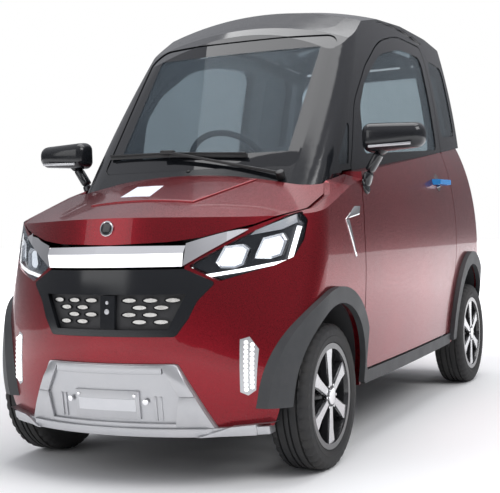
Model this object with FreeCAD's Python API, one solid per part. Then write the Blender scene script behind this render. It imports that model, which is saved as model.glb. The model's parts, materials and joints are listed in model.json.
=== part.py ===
import FreeCAD, Part
import math
import os

# Small two door electric car with an enclosed cabin, in millimetres.
# X points forward, Y to the car's left, Z up; the origin is on the ground, under the middle of its box.

Vector = FreeCAD.Vector
os.makedirs("parts", exist_ok=True)

# Driving dimensions
wheelbase = 2000.0
front_axle_x = 955.0
rear_axle_x = front_axle_x - wheelbase
tyre_diameter = 495.0
tyre_width = 145.0
rim_diameter = 360.0
tyre_outer_y = 603.0
wheel_y = tyre_outer_y - tyre_width / 2
wheel_z = tyre_diameter / 2

# Body form: plan outlines of the lower body, from the sill up to the shoulder
body_bow = 24000.0
body_widest_x = 250.0
tail_bow = 2200.0
tail_corner = 150.0
#             z,  nose x,  tail x, half width, nose bow, nose corner
body_levels = [
    (190.0, 1402.0, -1399.0, 590.0, 850.0, 150.0),
    (450.0, 1420.0, -1426.0, 618.0, 840.0, 160.0),
    (760.0, 1390.0, -1429.0, 630.0, 730.0, 170.0),
    (980.0, 1345.0, -1412.0, 606.0, 700.0, 180.0),
    (1200.0, 1290.0, -1379.0, 535.0, 690.0, 180.0),
]
# Cabin form above the belt: its front is the plane of the windscreen
cabin_bow = 14000.0
cabin_widest_x = -300.0
screen_bow = 2500.0
cabin_tail_corner = 120.0
#              z,  screen x, tail x, half width, pillar corner
cabin_levels = [
    (900.0, 928.0, -1372.0, 553.0, 130.0),
    (1250.0, 637.0, -1358.0, 527.0, 125.0),
    (1550.0, 388.0, -1340.0, 478.0, 115.0),
    (1850.0, 139.0, -1290.0, 405.0, 110.0),
]
# Centre lines of the crowned tops, nose to tail
bonnet_line = [(1600.0, 804.0), (1382.0, 868.0), (740.0, 1056.0), (400.0, 1120.0), (-1600.0, 1240.0)]
bonnet_crown_z = -1000.0
roof_line = [(1300.0, 950.0), (285.0, 1650.0), (120.0, 1738.0), (-100.0, 1776.0), (-450.0, 1797.0),
             (-900.0, 1797.0), (-1250.0, 1775.0), (-1600.0, 1715.0)]
roof_crown_z = 300.0

# Wall thicknesses
skin = 22.0
door_wall = 90.0
quarter_wall = 70.0
frame_wall = 42.0
glass_inset = 5.0
glass = 5.0
shut_gap = 6.0
seat_gap = 0.3


def on_circle(centre, radius, toward):
    dx, dy = toward[0] - centre[0], toward[1] - centre[1]
    reach = math.hypot(dx, dy)
    return (centre[0] + dx / reach * radius, centre[1] + dy / reach * radius)


def circle_crossings(c1, r1, c2, r2):
    dx, dy = c2[0] - c1[0], c2[1] - c1[1]
    gap = math.hypot(dx, dy)
    along = (r1 * r1 - r2 * r2 + gap * gap) / (2 * gap)
    off = math.sqrt(r1 * r1 - along * along)
    foot = (c1[0] + along * dx / gap, c1[1] + along * dy / gap)
    return [(foot[0] - s * off * dy / gap, foot[1] + s * off * dx / gap) for s in (-1, 1)]


def plan_outline(z, nose, tail, half, bows, corners, widest, t):
    # Eight tangent arcs: nose, two nose corners, two sides, two tail corners, tail; t insets them all.
    nose_bow, side_bow, rear_bow = bows
    nose_corner, rear_corner = corners
    nose_c = (nose - nose_bow, 0.0)
    tail_c = (tail + rear_bow, 0.0)
    side_c = (widest, half - side_bow)
    front_c = max(circle_crossings(nose_c, nose_bow - nose_corner, side_c, side_bow - nose_corner))
    rear_c = min(circle_crossings(tail_c, rear_bow - rear_corner, side_c, side_bow - rear_corner))
    a = on_circle(nose_c, nose_bow - t, front_c)
    b = on_circle(side_c, side_bow - t, front_c)
    c = on_circle(side_c, side_bow - t, rear_c)
    d = on_circle(tail_c, rear_bow - t, rear_c)

    def middle(centre, radius, p, q):
        return on_circle(centre, radius, ((p[0] + q[0]) / 2, (p[1] + q[1]) / 2))

    def arc(p, m, q):
        return Part.Arc(Vector(*p, z), Vector(*m, z), Vector(*q, z)).toShape()

    def flip(p):
        return (p[0], -p[1])

    m1 = middle(front_c, nose_corner - t, a, b)
    m2 = middle(side_c, side_bow - t, b, c)
    m3 = middle(rear_c, rear_corner - t, c, d)
    edges = [arc(flip(a), (nose - t, 0.0), a), arc(a, m1, b), arc(b, m2, c), arc(c, m3, d),
             arc(d, (tail + t, 0.0), flip(d)), arc(flip(d), flip(m3), flip(c)),
             arc(flip(c), flip(m2), flip(b)), arc(flip(b), flip(m1), flip(a))]
    return Part.Wire(edges)


forms = {}


def body_form(t):
    if ("body", t) in forms:
        return forms["body", t]
    wires = []
    for z, nose, tail, half, nose_bow, nose_corner in body_levels:
        wires.append(plan_outline(z, nose, tail, half, (nose_bow, body_bow, tail_bow),
                                  (nose_corner, tail_corner), body_widest_x, t))
    forms["body", t] = Part.makeLoft(wires, True, False)
    return forms["body", t]


def cabin_form(t):
    if ("cabin", t) in forms:
        return forms["cabin", t]
    wires = []
    for z, nose, tail, half, corner in cabin_levels:
        wires.append(plan_outline(z, nose, tail, half, (screen_bow, cabin_bow, screen_bow),
                                  (corner, cabin_tail_corner), cabin_widest_x, t))
    forms["cabin", t] = Part.makeLoft(wires, True, False)
    return forms["cabin", t]


def crowned(line, crown_z, drop):
    # Everything under a centre line that is swung sideways about a long axis at height crown_z.
    points = [Vector(x, 0, z - drop) for x, z in line]
    a = Vector(line[0][0], 0, crown_z)
    b = Vector(line[-1][0], 0, crown_z)
    wire = Part.makePolygon(points + [b, a, points[0]])
    solid = Part.Face(wire).revolve(Vector(0, 0, crown_z), Vector(1, 0, 0), 180)
    solid.rotate(Vector(0, 0, crown_z), Vector(1, 0, 0), -90)
    return solid


def rounded(points, place):
    # Closed wire through points (u, v, corner radius), with an arc at each corner that has one.
    count = len(points)
    edges = []
    last = None
    first = None
    for i in range(count):
        p0, p1, p2 = points[i - 1], points[i], points[(i + 1) % count]
        radius = p1[2] if len(p1) > 2 else 0.0
        ax, ay = p0[0] - p1[0], p0[1] - p1[1]
        bx, by = p2[0] - p1[0], p2[1] - p1[1]
        la, lb = math.hypot(ax, ay), math.hypot(bx, by)
        ax, ay, bx, by = ax / la, ay / la, bx / lb, by / lb
        if radius:
            half = math.acos(max(-1.0, min(1.0, ax * bx + ay * by))) / 2
            cut = min(radius / math.tan(half), 0.49 * la, 0.49 * lb)
            radius = cut * math.tan(half)
            start = (p1[0] + ax * cut, p1[1] + ay * cut)
            end = (p1[0] + bx * cut, p1[1] + by * cut)
            mx, my = ax + bx, ay + by
            m = math.hypot(mx, my)
            reach = radius / math.sin(half) - radius
            mid = (p1[0] + mx / m * reach, p1[1] + my / m * reach)
        else:
            start = end = (p1[0], p1[1])
        if last is not None:
            edges.append(Part.makeLine(place(*last), place(*start)))
        else:
            first = start
        if radius:
            edges.append(Part.Arc(place(*start), place(*mid), place(*end)).toShape())
        last = end
    edges.append(Part.makeLine(place(*last), place(*first)))
    return Part.Wire(edges)


def side_cut(points, y0, y1):
    # Outline in X and Z, from y0 to y1.
    face = Part.Face(rounded(points, lambda u, v: Vector(u, y0, v)))
    return face.extrude(Vector(0, y1 - y0, 0))


def front_cut(points, x0, x1):
    # Outline in Y and Z, from x0 to x1.
    face = Part.Face(rounded(points, lambda u, v: Vector(x0, u, v)))
    return face.extrude(Vector(x1 - x0, 0, 0))


def plan_cut(points, z0, z1):
    # Outline in X and Y, from z0 to z1.
    face = Part.Face(rounded(points, lambda u, v: Vector(u, v, z0)))
    return face.extrude(Vector(0, 0, z1 - z0))


def box(x0, x1, y0, y1, z0, z1):
    return Part.makeBox(x1 - x0, y1 - y0, z1 - z0, Vector(x0, y0, z0))


def rod(start, end, radius):
    start, end = Vector(*start), Vector(*end)
    return Part.makeCylinder(radius, (end - start).Length, start, end - start)


def mirrored(shape):
    return shape.mirror(Vector(0, 0, 0), Vector(0, 1, 0))


def both(shape):
    return Part.makeCompound([shape, mirrored(shape)])


def turned_y(points, x, y, z):
    # Profile of (radius, offset along Y) turned about the wheel's axis.
    wire = Part.makePolygon([Vector(x + r, y + o, z) for r, o in points + points[:1]])
    return Part.Face(wire).revolve(Vector(x, y, z), Vector(0, 1, 0), 360)


def save(name, shape):
    solids = shape.Solids
    out = solids[0] if len(solids) == 1 else Part.makeCompound(solids)
    out.exportStep(os.path.join("parts", name + ".step"))
    print(name, len(solids), "solids", round(out.Volume / 1e6, 3), "litres")
    return out


# Shells
body_outer = body_form(0.0)
crown = crowned(bonnet_line, bonnet_crown_z, 0.0)
crown_inner = crowned(bonnet_line, bonnet_crown_z, skin)
roof_crown = crowned(roof_line, roof_crown_z, 0.0)
roof_inner = crowned(roof_line, roof_crown_z, frame_wall)
body_top = body_outer.common(crown)
front_shell = body_top.cut(body_form(skin).common(crown_inner))
cabin_outer = cabin_form(0.0).common(roof_crown)
cabin_hollow = cabin_form(frame_wall).common(roof_inner)
cabin_shell = cabin_outer.cut(cabin_hollow)
cabin_clear = cabin_form(-shut_gap)
glass_form = cabin_form(glass_inset).common(crowned(roof_line, roof_crown_z, glass_inset))
glass_hollow = cabin_form(glass_inset + glass).common(crowned(roof_line, roof_crown_z, glass_inset + glass))
glass_shell = glass_form.cut(glass_hollow)

# Shut lines and edges, seen from the side or from the front
door_front_x = 657.0
sill_top = 295.0
sill_bottom = 240.0
belt_mid = 1081.0
belt_rise = -0.1
bonnet_rear_x = 745.0
cowl_gap = 26.0
bumper_rear_x = 1160.0


def belt(x):
    return belt_mid + belt_rise * x


far = 1700.0
below_belt = side_cut([(-far, 0), (far, 0), (far, belt(far)), (-far, belt(-far))], -900, 900)
above_belt = side_cut([(-far, belt(-far) + seat_gap), (far, belt(far) + seat_gap), (far, 2000), (-far, 2000)],
                      -900, 900)
below_belt_wide = side_cut([(-far, 0), (far, 0), (far, belt(far) + shut_gap), (-far, belt(-far) + shut_gap)],
                           -900, 900)
above_belt_wide = side_cut([(-far, belt(-far) - shut_gap), (far, belt(far) - shut_gap), (far, 2000), (-far, 2000)],
                           -900, 900)

# Doors: the lower skin and the window frame are cut from the shells by the same outline
door_lower = [(-770, 1400), (-735, 1010, 400), (-722, 790, 300), (-700, 640, 200), (-636, 480, 150),
              (-590, 295, 40), (660, 295, 40), (654, 800, 500), (630, 930, 300), (585, 1030, 60), (585, 1400)]
door_upper = [(-770, 1050), (-770, 1590, 60), (-735, 1668, 50), (-330, 1663, 900), (-40, 1602, 700),
              (200, 1465, 300), (395, 1300, 250), (470, 1120, 120), (500, 1050, 30), (500, 950)]
door_window = [(358, 1102, 30), (338, 1290, 120), (235, 1405, 250), (-20, 1545, 500), (-330, 1605, 700),
               (-690, 1612, 60), (-690, 1166, 35)]
front_quarter = [(632, 1052, 14), (524, 1055, 12), (462, 1255, 12)]
rear_quarter = [(-828, 1235, 45), (-1150, 1262, 45), (-1150, 1615, 60), (-828, 1622, 60)]


def grown(points, by):
    # Moves each point of an outline outwards by about the same distance.
    count = len(points)
    area = sum(points[i - 1][0] * points[i][1] - points[i][0] * points[i - 1][1] for i in range(count))
    sign = 1.0 if area > 0 else -1.0
    out = []
    for i in range(count):
        p0, p1, p2 = points[i - 1], points[i], points[(i + 1) % count]
        d1 = (p1[0] - p0[0], p1[1] - p0[1])
        d2 = (p2[0] - p1[0], p2[1] - p1[1])
        l1, l2 = math.hypot(*d1), math.hypot(*d2)
        n1 = (sign * d1[1] / l1, -sign * d1[0] / l1)
        n2 = (sign * d2[1] / l2, -sign * d2[0] / l2)
        bis = (n1[0] + n2[0], n1[1] + n2[1])
        scale = 2.0 * by / (bis[0] ** 2 + bis[1] ** 2)
        out.append((p1[0] + bis[0] * scale, p1[1] + bis[1] * scale) + tuple(p1[2:]))
    return out


door_shell = body_outer.cut(body_form(door_wall))
door_rebate = body_outer.cut(body_form(34.0))
rebate = 20.0


def door_parts():
    zone = side_cut(door_lower, 0, 900)
    inner_zone = side_cut(grown(door_lower, -rebate), 0, 900)
    skin_part = door_rebate.common(zone).common(below_belt)
    inner_part = door_shell.common(inner_zone).common(below_belt)
    lower = skin_part.fuse(inner_part).removeSplitter()
    frame = cabin_shell.common(side_cut(door_upper, 0, 900)).common(above_belt)
    frame = frame.cut(side_cut(door_window, 0, 900))
    pane = glass_shell.common(side_cut(grown(door_window, -seat_gap), 0, 900))
    return lower, frame, pane


door_left, door_frame_left, door_glass_left = door_parts()
door_clear_lower = side_cut(grown(door_lower, shut_gap), 0, 900)
door_clear_upper = side_cut(grown(door_upper, shut_gap), 0, 900)

door_clear = both(door_clear_lower.common(below_belt_wide).fuse(door_clear_upper.common(above_belt_wide)))


def turned(shape, side):
    return shape if side > 0 else mirrored(shape)


sides = ((1, "left"), (-1, "right"))
for side, name in sides:
    save("door_" + name, turned(door_left, side))
    save("door_frame_" + name, turned(door_frame_left, side))
    save("door_glass_" + name, turned(door_glass_left, side))

# Wheel openings: centre x, centre z, outer and inner radius of the dark flare round each
openings = [(952.0, 290.0, 330.0, 274.0), (-1018.0, 300.0, 365.0, 300.0)]
flare_proud = 22.0
arch_lip = 12.0


def opening_cut(x, z, radius, y0, y1):
    points = [(x - radius, 0), (x + radius, 0), (x + radius, z), (x - radius, z)]
    return side_cut(points, y0, y1).fuse(
        Part.makeCylinder(radius, y1 - y0, Vector(x, y0, z), Vector(0, 1, 0)))


arch_clear = None
for x, z, r_out, r_in in openings:
    cut = both(opening_cut(x, z, r_in + arch_lip, 300, 900))
    arch_clear = cut if arch_clear is None else arch_clear.fuse(cut)

# Front end: bonnet, fenders, bumper, lamps, grille
bonnet_edge_front = [(-900, 1500), (-900, 1010), (-560, 890, 60), (-437, 836, 80), (-265, 792, 80),
                     (0, 784, 300), (265, 792, 80), (437, 836, 80), (560, 890, 60), (900, 1010), (900, 1500)]
bonnet_edge_side = [(bonnet_rear_x, 1500), (bonnet_rear_x, 992, 40), (877, 938, 200), (1052, 884),
                    (1600, 715), (1600, 1500)]
lamp_outline = [(269, 712, 6), (437, 811, 20), (556, 880, 12), (577, 850, 20), (572, 785, 40),
                (552, 732, 20), (505, 706, 20), (361, 662, 12)]
bar_outline = [(-258, 712, 4), (-258, 704), (258, 704), (258, 712, 4), (425, 814, 4), (437, 832, 4),
               (265, 786, 80), (0, 778, 300), (-265, 786, 80), (-437, 832, 4), (-425, 814, 4)]
grille_outline = [(-258, 703.4), (-352, 658, 10), (-300, 600, 40), (-275, 545, 30), (-236, 489, 20),
                  (236, 489, 20), (275, 545, 30), (300, 600, 40), (352, 658, 10), (258, 703.4)]
day_light_outline = [(430, 470, 8), (448, 478, 8), (470, 440, 10), (462, 320, 10), (444, 304, 8), (430, 316, 8)]
plate_outline = [(-353, 196), (353, 196), (300, 300, 60), (243, 403, 14), (-243, 403, 14), (-300, 300, 60)]
trim_gap = 0.6

bonnet_zone = front_cut(bonnet_edge_front, 600, 1600).common(side_cut(bonnet_edge_side, -900, 900))
bonnet_clear = front_cut(grown(bonnet_edge_front, shut_gap), 600, 1600).common(
    side_cut(grown(bonnet_edge_side, shut_gap), -900, 900))
lamp_zone = both(front_cut(lamp_outline, 1000, 1600))
lamp_clear = both(front_cut(grown(lamp_outline, trim_gap), 1000, 1600))
bar_zone = front_cut(bar_outline, 1000, 1600)
bar_clear = front_cut(grown(bar_outline, trim_gap), 1000, 1600)
grille_zone = front_cut(grille_outline, 1000, 1600)
grille_clear = front_cut(grown(grille_outline, trim_gap), 1000, 1600)
day_zone = both(front_cut(day_light_outline, 1000, 1600))
day_clear = both(front_cut(grown(day_light_outline, trim_gap), 1000, 1600))

front_clip = front_shell.common(box(door_front_x - 200, 1600, -900, 900, sill_bottom - 45, 1300))
front_clip = front_clip.cut(door_clear)
front_clip = front_clip.cut(side_cut([(400, 0), (660, 0), (657, 800), (632, 930), (590, 1040), (400, 1040)],
                                     -900, 900))
front_clip = front_clip.cut(box(400, 770, -445, 445, 900, 1300))
bonnet = front_clip.common(bonnet_zone).cut(front_cut(grown(bar_outline, shut_gap), 1000, 1600))
bonnet = bonnet.cut(cabin_form(-cowl_gap))
save("bonnet", bonnet.cut(both(front_cut(grown(lamp_outline, shut_gap), 1000, 1600))))
front_rest = front_clip.cut(cabin_clear).cut(bonnet_clear).cut(arch_clear).cut(lamp_clear).cut(bar_clear).cut(grille_clear)
# Plan of the cabin's front corners, where the fenders stop short of the cabin frame
corner_points = [(400, 531), (620, 528), (700, 523), (745, 517), (800, 492), (846, 433), (870, 350)]
cabin_corner = plan_cut(corner_points + [(x, -y) for x, y in reversed(corner_points)], 940, 1300)
fenders = front_rest.common(box(577, bumper_rear_x - trim_gap, -900, 900, sill_bottom, 1500))
save("front_fenders", fenders.cut(cabin_corner))
nose_band = front_cut(grown(bonnet_edge_front, shut_gap + 16.0), 1200, 1600).common(
    box(1200, 1600, -420, 420, 0, 1500))
bumper = front_rest.common(box(bumper_rear_x, 1600, -900, 900, 0, 1500)).cut(day_clear).cut(nose_band)
plate_zone = front_cut(plate_outline, 1100, 1600)
plate_clear = front_cut(grown(plate_outline, trim_gap), 1100, 1600)
save("front_bumper", bumper.cut(plate_clear))
lamp_depth = 70.0
save("headlights", body_top.cut(body_form(lamp_depth)).common(lamp_zone))
save("daytime_lights", body_top.cut(body_form(30.0)).common(day_zone))
save("grille_bar", body_form(-8.0).cut(body_form(skin)).common(bar_zone))
save("grille", body_top.cut(body_form(36.0)).common(grille_zone))
plate_skin = body_form(-12.0).cut(body_form(skin))
save("skid_plate", plate_skin.common(plate_zone))

# Dark trim: wheel arch flares and sills
flare_shell = body_form(-flare_proud).cut(body_form(-seat_gap))
flares = []
flare_foot = 255.0
for x, z, r_out, r_in in openings:
    band = opening_cut(x, z, r_out, 0, 900).cut(opening_cut(x, z, r_in, 0, 900))
    band = band.cut(box(-1600, 1600, 0, 900, 0, flare_foot))
    flares.append(flare_shell.common(band).cut(door_clear))
save("arch_flares", both(Part.makeCompound(flares)))
sill_front = 655.0
sill_rear = -648.0
sill_trim_top = 289.0
sill = body_form(-6.0).cut(body_form(58.0)).common(box(sill_rear, sill_front, 0, 900, sill_bottom, sill_trim_top))
sill = sill.cut(opening_cut(openings[0][0], openings[0][1], openings[0][2] + seat_gap, 0, 900))
# Rubber pads on the sill, which carry the closed door
pads = [box(x - 20, x + 20, 576, 592, 280, sill_top - seat_gap) for x in (-480.0, 540.0)]
save("sill_trims", both(sill.fuse(pads)))

# Cabin: black frame, roof panel, glass
belt_box = side_cut([(-far, belt(-far) + seat_gap), (600, belt(600) + seat_gap), (690, 950), (1100, 950),
                     (1100, 2000), (-far, 2000)], -900, 900)
screen_outline = [(-412, 1048, 30), (412, 1048, 30), (418, 1592, 60), (-418, 1592, 60)]
screen_zone = front_cut(screen_outline, 0, 1200)
screen_hole = front_cut(grown(screen_outline, -14.0), 0, 1200)
rear_window_outline = [(-440, 1200, 50), (440, 1200, 50), (400, 1600, 60), (-400, 1600, 60)]
rear_window_hole = front_cut(rear_window_outline, -1600, -1100)
hatch_top = 1655.0
hatch_top_gap = 11.0
hatch_outline = [(-500, 640, 60), (500, 640, 60), (505, 1150, 200), (448, hatch_top, 50), (-448, hatch_top, 50),
                 (-505, 1150, 200)]
hatch_front_x = -1255.0
# Hatch hinges in its top shut line: x and z of the pin, the ears' faces along Y
hinge_x = -1317.0
hinge_z = hatch_top + 9.0
hinge_y = (170.0, 186.0, 214.0, 230.0)
eye_radius = 8.0
pin_radius_hatch = 4.0
running_fit = 0.05
hatch_zone = front_cut(hatch_outline, -1600, hatch_front_x)
hatch_clear = front_cut(grown(hatch_outline, shut_gap), -1600, hatch_front_x + shut_gap).fuse(
    box(-1600, hatch_front_x + shut_gap, -400, 400, hatch_top, hatch_top + hatch_top_gap))
roof_half = 395.0
roof_outline = [(250, -360, 60), (250, 360, 60), (0, roof_half, 200), (-1200, roof_half - 20, 60),
                (-1262, 300, 200), (-1262, -300, 200), (-1200, 20 - roof_half, 60), (0, -roof_half, 200)]
roof_zone = plan_cut(roof_outline, 1500, 1900)
roof_clear = plan_cut(grown(roof_outline, trim_gap), 1500, 1900)
upper = cabin_shell.common(belt_box)
save("roof", cabin_shell.common(roof_zone))
frame = upper.cut(roof_clear).cut(door_clear).cut(hatch_clear)
frame = frame.cut(screen_hole)
frame = frame.cut(both(side_cut(front_quarter, 0, 900))).cut(both(side_cut(rear_quarter, 0, 900)))
behind_glass = glass_inset + glass + seat_gap
screen_seat = front_cut(grown(screen_outline, 1.0), 0, 1200).cut(
    cabin_form(behind_glass).common(crowned(roof_line, roof_crown_z, behind_glass)))
frame = frame.cut(screen_seat)
frame = frame.cut(both(box(hinge_x - 40, hinge_x + 18, hinge_y[0] - 2, hinge_y[3] + 2, hinge_z - 16, hinge_z + 16)))
ears = [rod((hinge_x, hinge_y[0], hinge_z), (hinge_x, hinge_y[3], hinge_z), pin_radius_hatch)]
for y0, y1 in (hinge_y[:2], hinge_y[2:]):
    ears += [rod((hinge_x, y0, hinge_z), (hinge_x, y1, hinge_z), eye_radius),
             box(hinge_x - 6, hinge_x + 8, y0, y1, hinge_z, hinge_z + 24)]
frame = frame.fuse(both(Part.makeCompound(ears)).Solids).removeSplitter()
save("cabin_frame", frame)
save("windscreen", glass_shell.common(screen_zone))
save("quarter_windows", both(glass_shell.common(side_cut(grown(front_quarter, -seat_gap), 0, 900)).fuse(
    glass_shell.common(side_cut(grown(rear_quarter, -seat_gap), 0, 900)))))

# Rear: quarter panels, bumper, hatch, lamps
rear_shell = body_outer.cut(body_form(quarter_wall)).common(below_belt)
rear_box = box(-1600, -400, -900, 900, sill_bottom, 1300)
tail_lamp_outline = [(520, 760, 20), (585, 770, 30), (590, 1010, 60), (540, 1090, 30), (516, 1060, 30)]
tail_lamp_zone = both(front_cut(tail_lamp_outline, -1600, -1290))
tail_lamp_clear = both(front_cut(grown(tail_lamp_outline, trim_gap), -1600, -1288))
rear_bumper_z = 636.0
rear_body = rear_shell.common(rear_box).cut(door_clear).cut(arch_clear).cut(hatch_clear).cut(tail_lamp_clear)
rear_body = rear_body.cut(box(sill_rear - seat_gap, -400, -900, 900, 0, sill_trim_top + seat_gap))
rear_body = rear_body.cut(side_cut([(-400, 0), (-400, 1400), (-770, 1400), (-735, 1010, 400), (-722, 790, 300),
                                    (-700, 640, 200), (-636, 480, 150), (-590, 295, 40), (-590, 0)], -900, 900))
rear_low = side_cut([(-1600, 0), (-1000, 0), (-1000, rear_bumper_z), (-1600, rear_bumper_z)], -900, 900)
save("rear_bumper", rear_body.common(rear_low))
save("rear_quarters", rear_body.cut(side_cut([(-1600, 0), (-1000, 0), (-1000, rear_bumper_z + trim_gap),
                                              (-1600, rear_bumper_z + trim_gap)], -900, 900)))
save("tail_lights", body_outer.cut(body_form(40.0)).common(tail_lamp_zone))
save("tailgate", body_outer.cut(body_form(40.0)).common(hatch_zone).common(below_belt))
hatch_frame = cabin_shell.common(hatch_zone).common(above_belt).cut(rear_window_hole)
hinge_notch = both(box(hinge_x - 40, hinge_x + 18, hinge_y[0] - 2, hinge_y[3] + 2, hinge_z - 16, hinge_z + 16))
hatch_eye = rod((hinge_x, hinge_y[1] + 1, hinge_z), (hinge_x, hinge_y[2] - 1, hinge_z), eye_radius).fuse(
    box(hinge_x - 6, hinge_x + 8, hinge_y[1] + 1, hinge_y[2] - 1, hinge_z - 24, hinge_z))
hatch_eye = hatch_eye.cut(rod((hinge_x, hinge_y[0], hinge_z), (hinge_x, hinge_y[3], hinge_z),
                              pin_radius_hatch + running_fit))
save("tailgate_frame", hatch_frame.cut(hinge_notch).fuse(both(hatch_eye).Solids).removeSplitter())
save("rear_window", glass_shell.common(front_cut(grown(rear_window_outline, -seat_gap), -1600, -1100)))


# Underbody: floor pan with wheelhouses, toe board and firewall, on a ladder frame
floor_z = (236.0, 256.0)
rear_floor_z = (424.0, 440.0)
sill_wall = 58.0
firewall_x = (700.0, 712.0)
toe_x = (880.0, 892.0)
toe_top_z = (548.0, 560.0)
house_y = 302.0
house_step_y = 515.0
step_x = (-702.0, -690.0)
sheet = 6.0
rear_house_y = 425.0
inside_sill = body_form(sill_wall + seat_gap)
inside_skin = body_form(skin + seat_gap)
inside_quarter = body_form(quarter_wall + seat_gap)
toe_space = box(0, toe_x[0], -house_y, house_y, 0, toe_top_z[0])
load_pad_x = (-1290.0, -935.0)
load_pad_y = 395.0
load_pad = 6.0
floor = inside_sill.common(box(sill_rear, 640, -700, 700, floor_z[0], floor_z[1]))
floor = floor.fuse([box(630, toe_x[1], -house_y, house_y, floor_z[0], floor_z[1]),
                    box(toe_x[0], toe_x[1], -house_y, house_y, floor_z[0], toe_top_z[1]),
                    box(firewall_x[0], toe_x[1], -house_y, house_y, toe_top_z[0], toe_top_z[1]),
                    inside_skin.common(box(firewall_x[0], firewall_x[1], -700, 700, 440, 949.7)).cut(toe_space),
                    box(firewall_x[0], firewall_x[1], -430, 430, 940, 1100).common(
                        crowned(bonnet_line, bonnet_crown_z, 27.6)),
                    inside_quarter.common(box(step_x[0], sill_rear + 1, -700, 700, floor_z[0], floor_z[1])),
                    inside_quarter.common(box(step_x[0], step_x[1], -700, 700, floor_z[0], rear_floor_z[1])),
                    box(load_pad_x[0], load_pad_x[1], -load_pad_y, load_pad_y, rear_floor_z[0],
                        rear_floor_z[1] + load_pad),
                    inside_quarter.common(box(-1400, step_x[0], 5 - rear_house_y, rear_house_y - 5,
                                              rear_floor_z[0], rear_floor_z[1]))])
front_house = (952.0, wheel_z, 318.0)
outer_house = openings[0][:2] + (openings[0][3] + arch_lip - seat_gap,)
rear_house = openings[1][:2] + (openings[1][3] + arch_lip - seat_gap,)
house_bottom = 215.0


def drum(house, y0, y1, wall):
    # Half drum over a wheel, open below, closed by its wall.
    x, z, radius = house
    outer = opening_cut(x, z, radius, y0, y1)
    return outer.cut(opening_cut(x, z, radius - wall, y0 - 1, y1 + 1))


inner_space = opening_cut(front_house[0], front_house[1], front_house[2] - sheet, house_y, house_step_y)
outer_space = opening_cut(outer_house[0], outer_house[1], outer_house[2] - sheet, house_step_y - sheet - 1, 700)
rear_space = opening_cut(rear_house[0], rear_house[1], rear_house[2] - sheet, rear_house_y, 700)
front_step = opening_cut(front_house[0], front_house[1], front_house[2], house_step_y - sheet, house_step_y)
houses = drum(front_house, house_y - sheet, house_step_y, sheet)
houses = houses.fuse([opening_cut(front_house[0], front_house[1], front_house[2], house_y - sheet, house_y),
                      front_step.cut(outer_space),
                      drum(outer_house, house_step_y - sheet, 700, sheet)])
houses = houses.common(inside_skin).cut(day_clear)
rear_houses = drum(rear_house, rear_house_y - sheet, 700, sheet).common(body_form(10.0)).fuse(
    opening_cut(rear_house[0], rear_house[1], rear_house[2], rear_house_y - sheet, rear_house_y))
houses = houses.fuse(rear_houses)
houses = houses.cut(box(-2000, 2000, 0, 900, -100, house_bottom))
arm_slot = box(885, 1025, house_y - sheet - 2, house_y + 2, 320, 364)
rack_slot = box(1046, 1084, house_y - sheet - 2, house_y + 2, 200, 250)
axle_radius = 30.0
axle_travel = 40.0
axle_slot = box(rear_axle_x - axle_radius - 12, rear_axle_x + axle_radius + 12, rear_house_y - sheet - 2,
                rear_house_y + 2, house_bottom - 2, wheel_z + axle_radius + axle_travel)
floor = floor.cut([both(inner_space), both(outer_space), both(rear_space)]).fuse(both(houses).Solids)
floor = floor.cut([both(arm_slot), both(rack_slot), both(axle_slot)]).removeSplitter()
save("floor_pan", floor)
cowl = crowned(bonnet_line, bonnet_crown_z, 15.3).cut(crowned(bonnet_line, bonnet_crown_z, 27.3))
cowl = cowl.common(box(firewall_x[0], 820, -430, 430, 900, 1100)).common(cabin_form(frame_wall + seat_gap))
cowl_strip = crowned(bonnet_line, bonnet_crown_z, 29.0).cut(crowned(bonnet_line, bonnet_crown_z, 35.0))
cowl_seat = 0.4
cowl_strip = cowl_strip.common(box(740, 900, -430, 430, 900, 1100)).cut(cabin_form(-cowl_seat))
cowl_strip = cowl_strip.common(cabin_form(-cowl_gap - 14.0))
save("cowl_panel", Part.makeCompound([cowl, cowl_strip]))

# Steering rack ahead of the axle, in two bored blocks on the rails
rack_x = front_axle_x + 110.0
rack_z = 230.0
rack_radius = 9.0
tie_end = 15.0
steer_arm_z = (250.0, 266.0)

rail_y = (230.0, 280.0)
rail_z = (165.0, 215.0)
rail_x = (-1330.0, 1290.0)
pieces = [box(rail_x[0], rail_x[1], rail_y[0], rail_y[1], rail_z[0], rail_z[1]),
          box(895, 1015, 255, rail_y[1], rail_z[1], 362),
          box(-1330, -1280, rail_y[0], rail_y[1], rail_z[1], rear_floor_z[0] - seat_gap).common(inside_quarter),
          box(1250, 1500, rail_y[0], rail_y[1], rail_z[0], 480).common(inside_skin)]
for x in (-640.0, 0.0, 560.0):
    pieces.append(box(x - 30, x + 30, rail_y[0], rail_y[1], rail_z[1], floor_z[0] - seat_gap))
cross = [box(x - 20, x + 20, -rail_y[0], rail_y[0], rail_z[0], rail_z[1]) for x in (-1310, -720, 0, 640, 955, 1270)]
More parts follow.
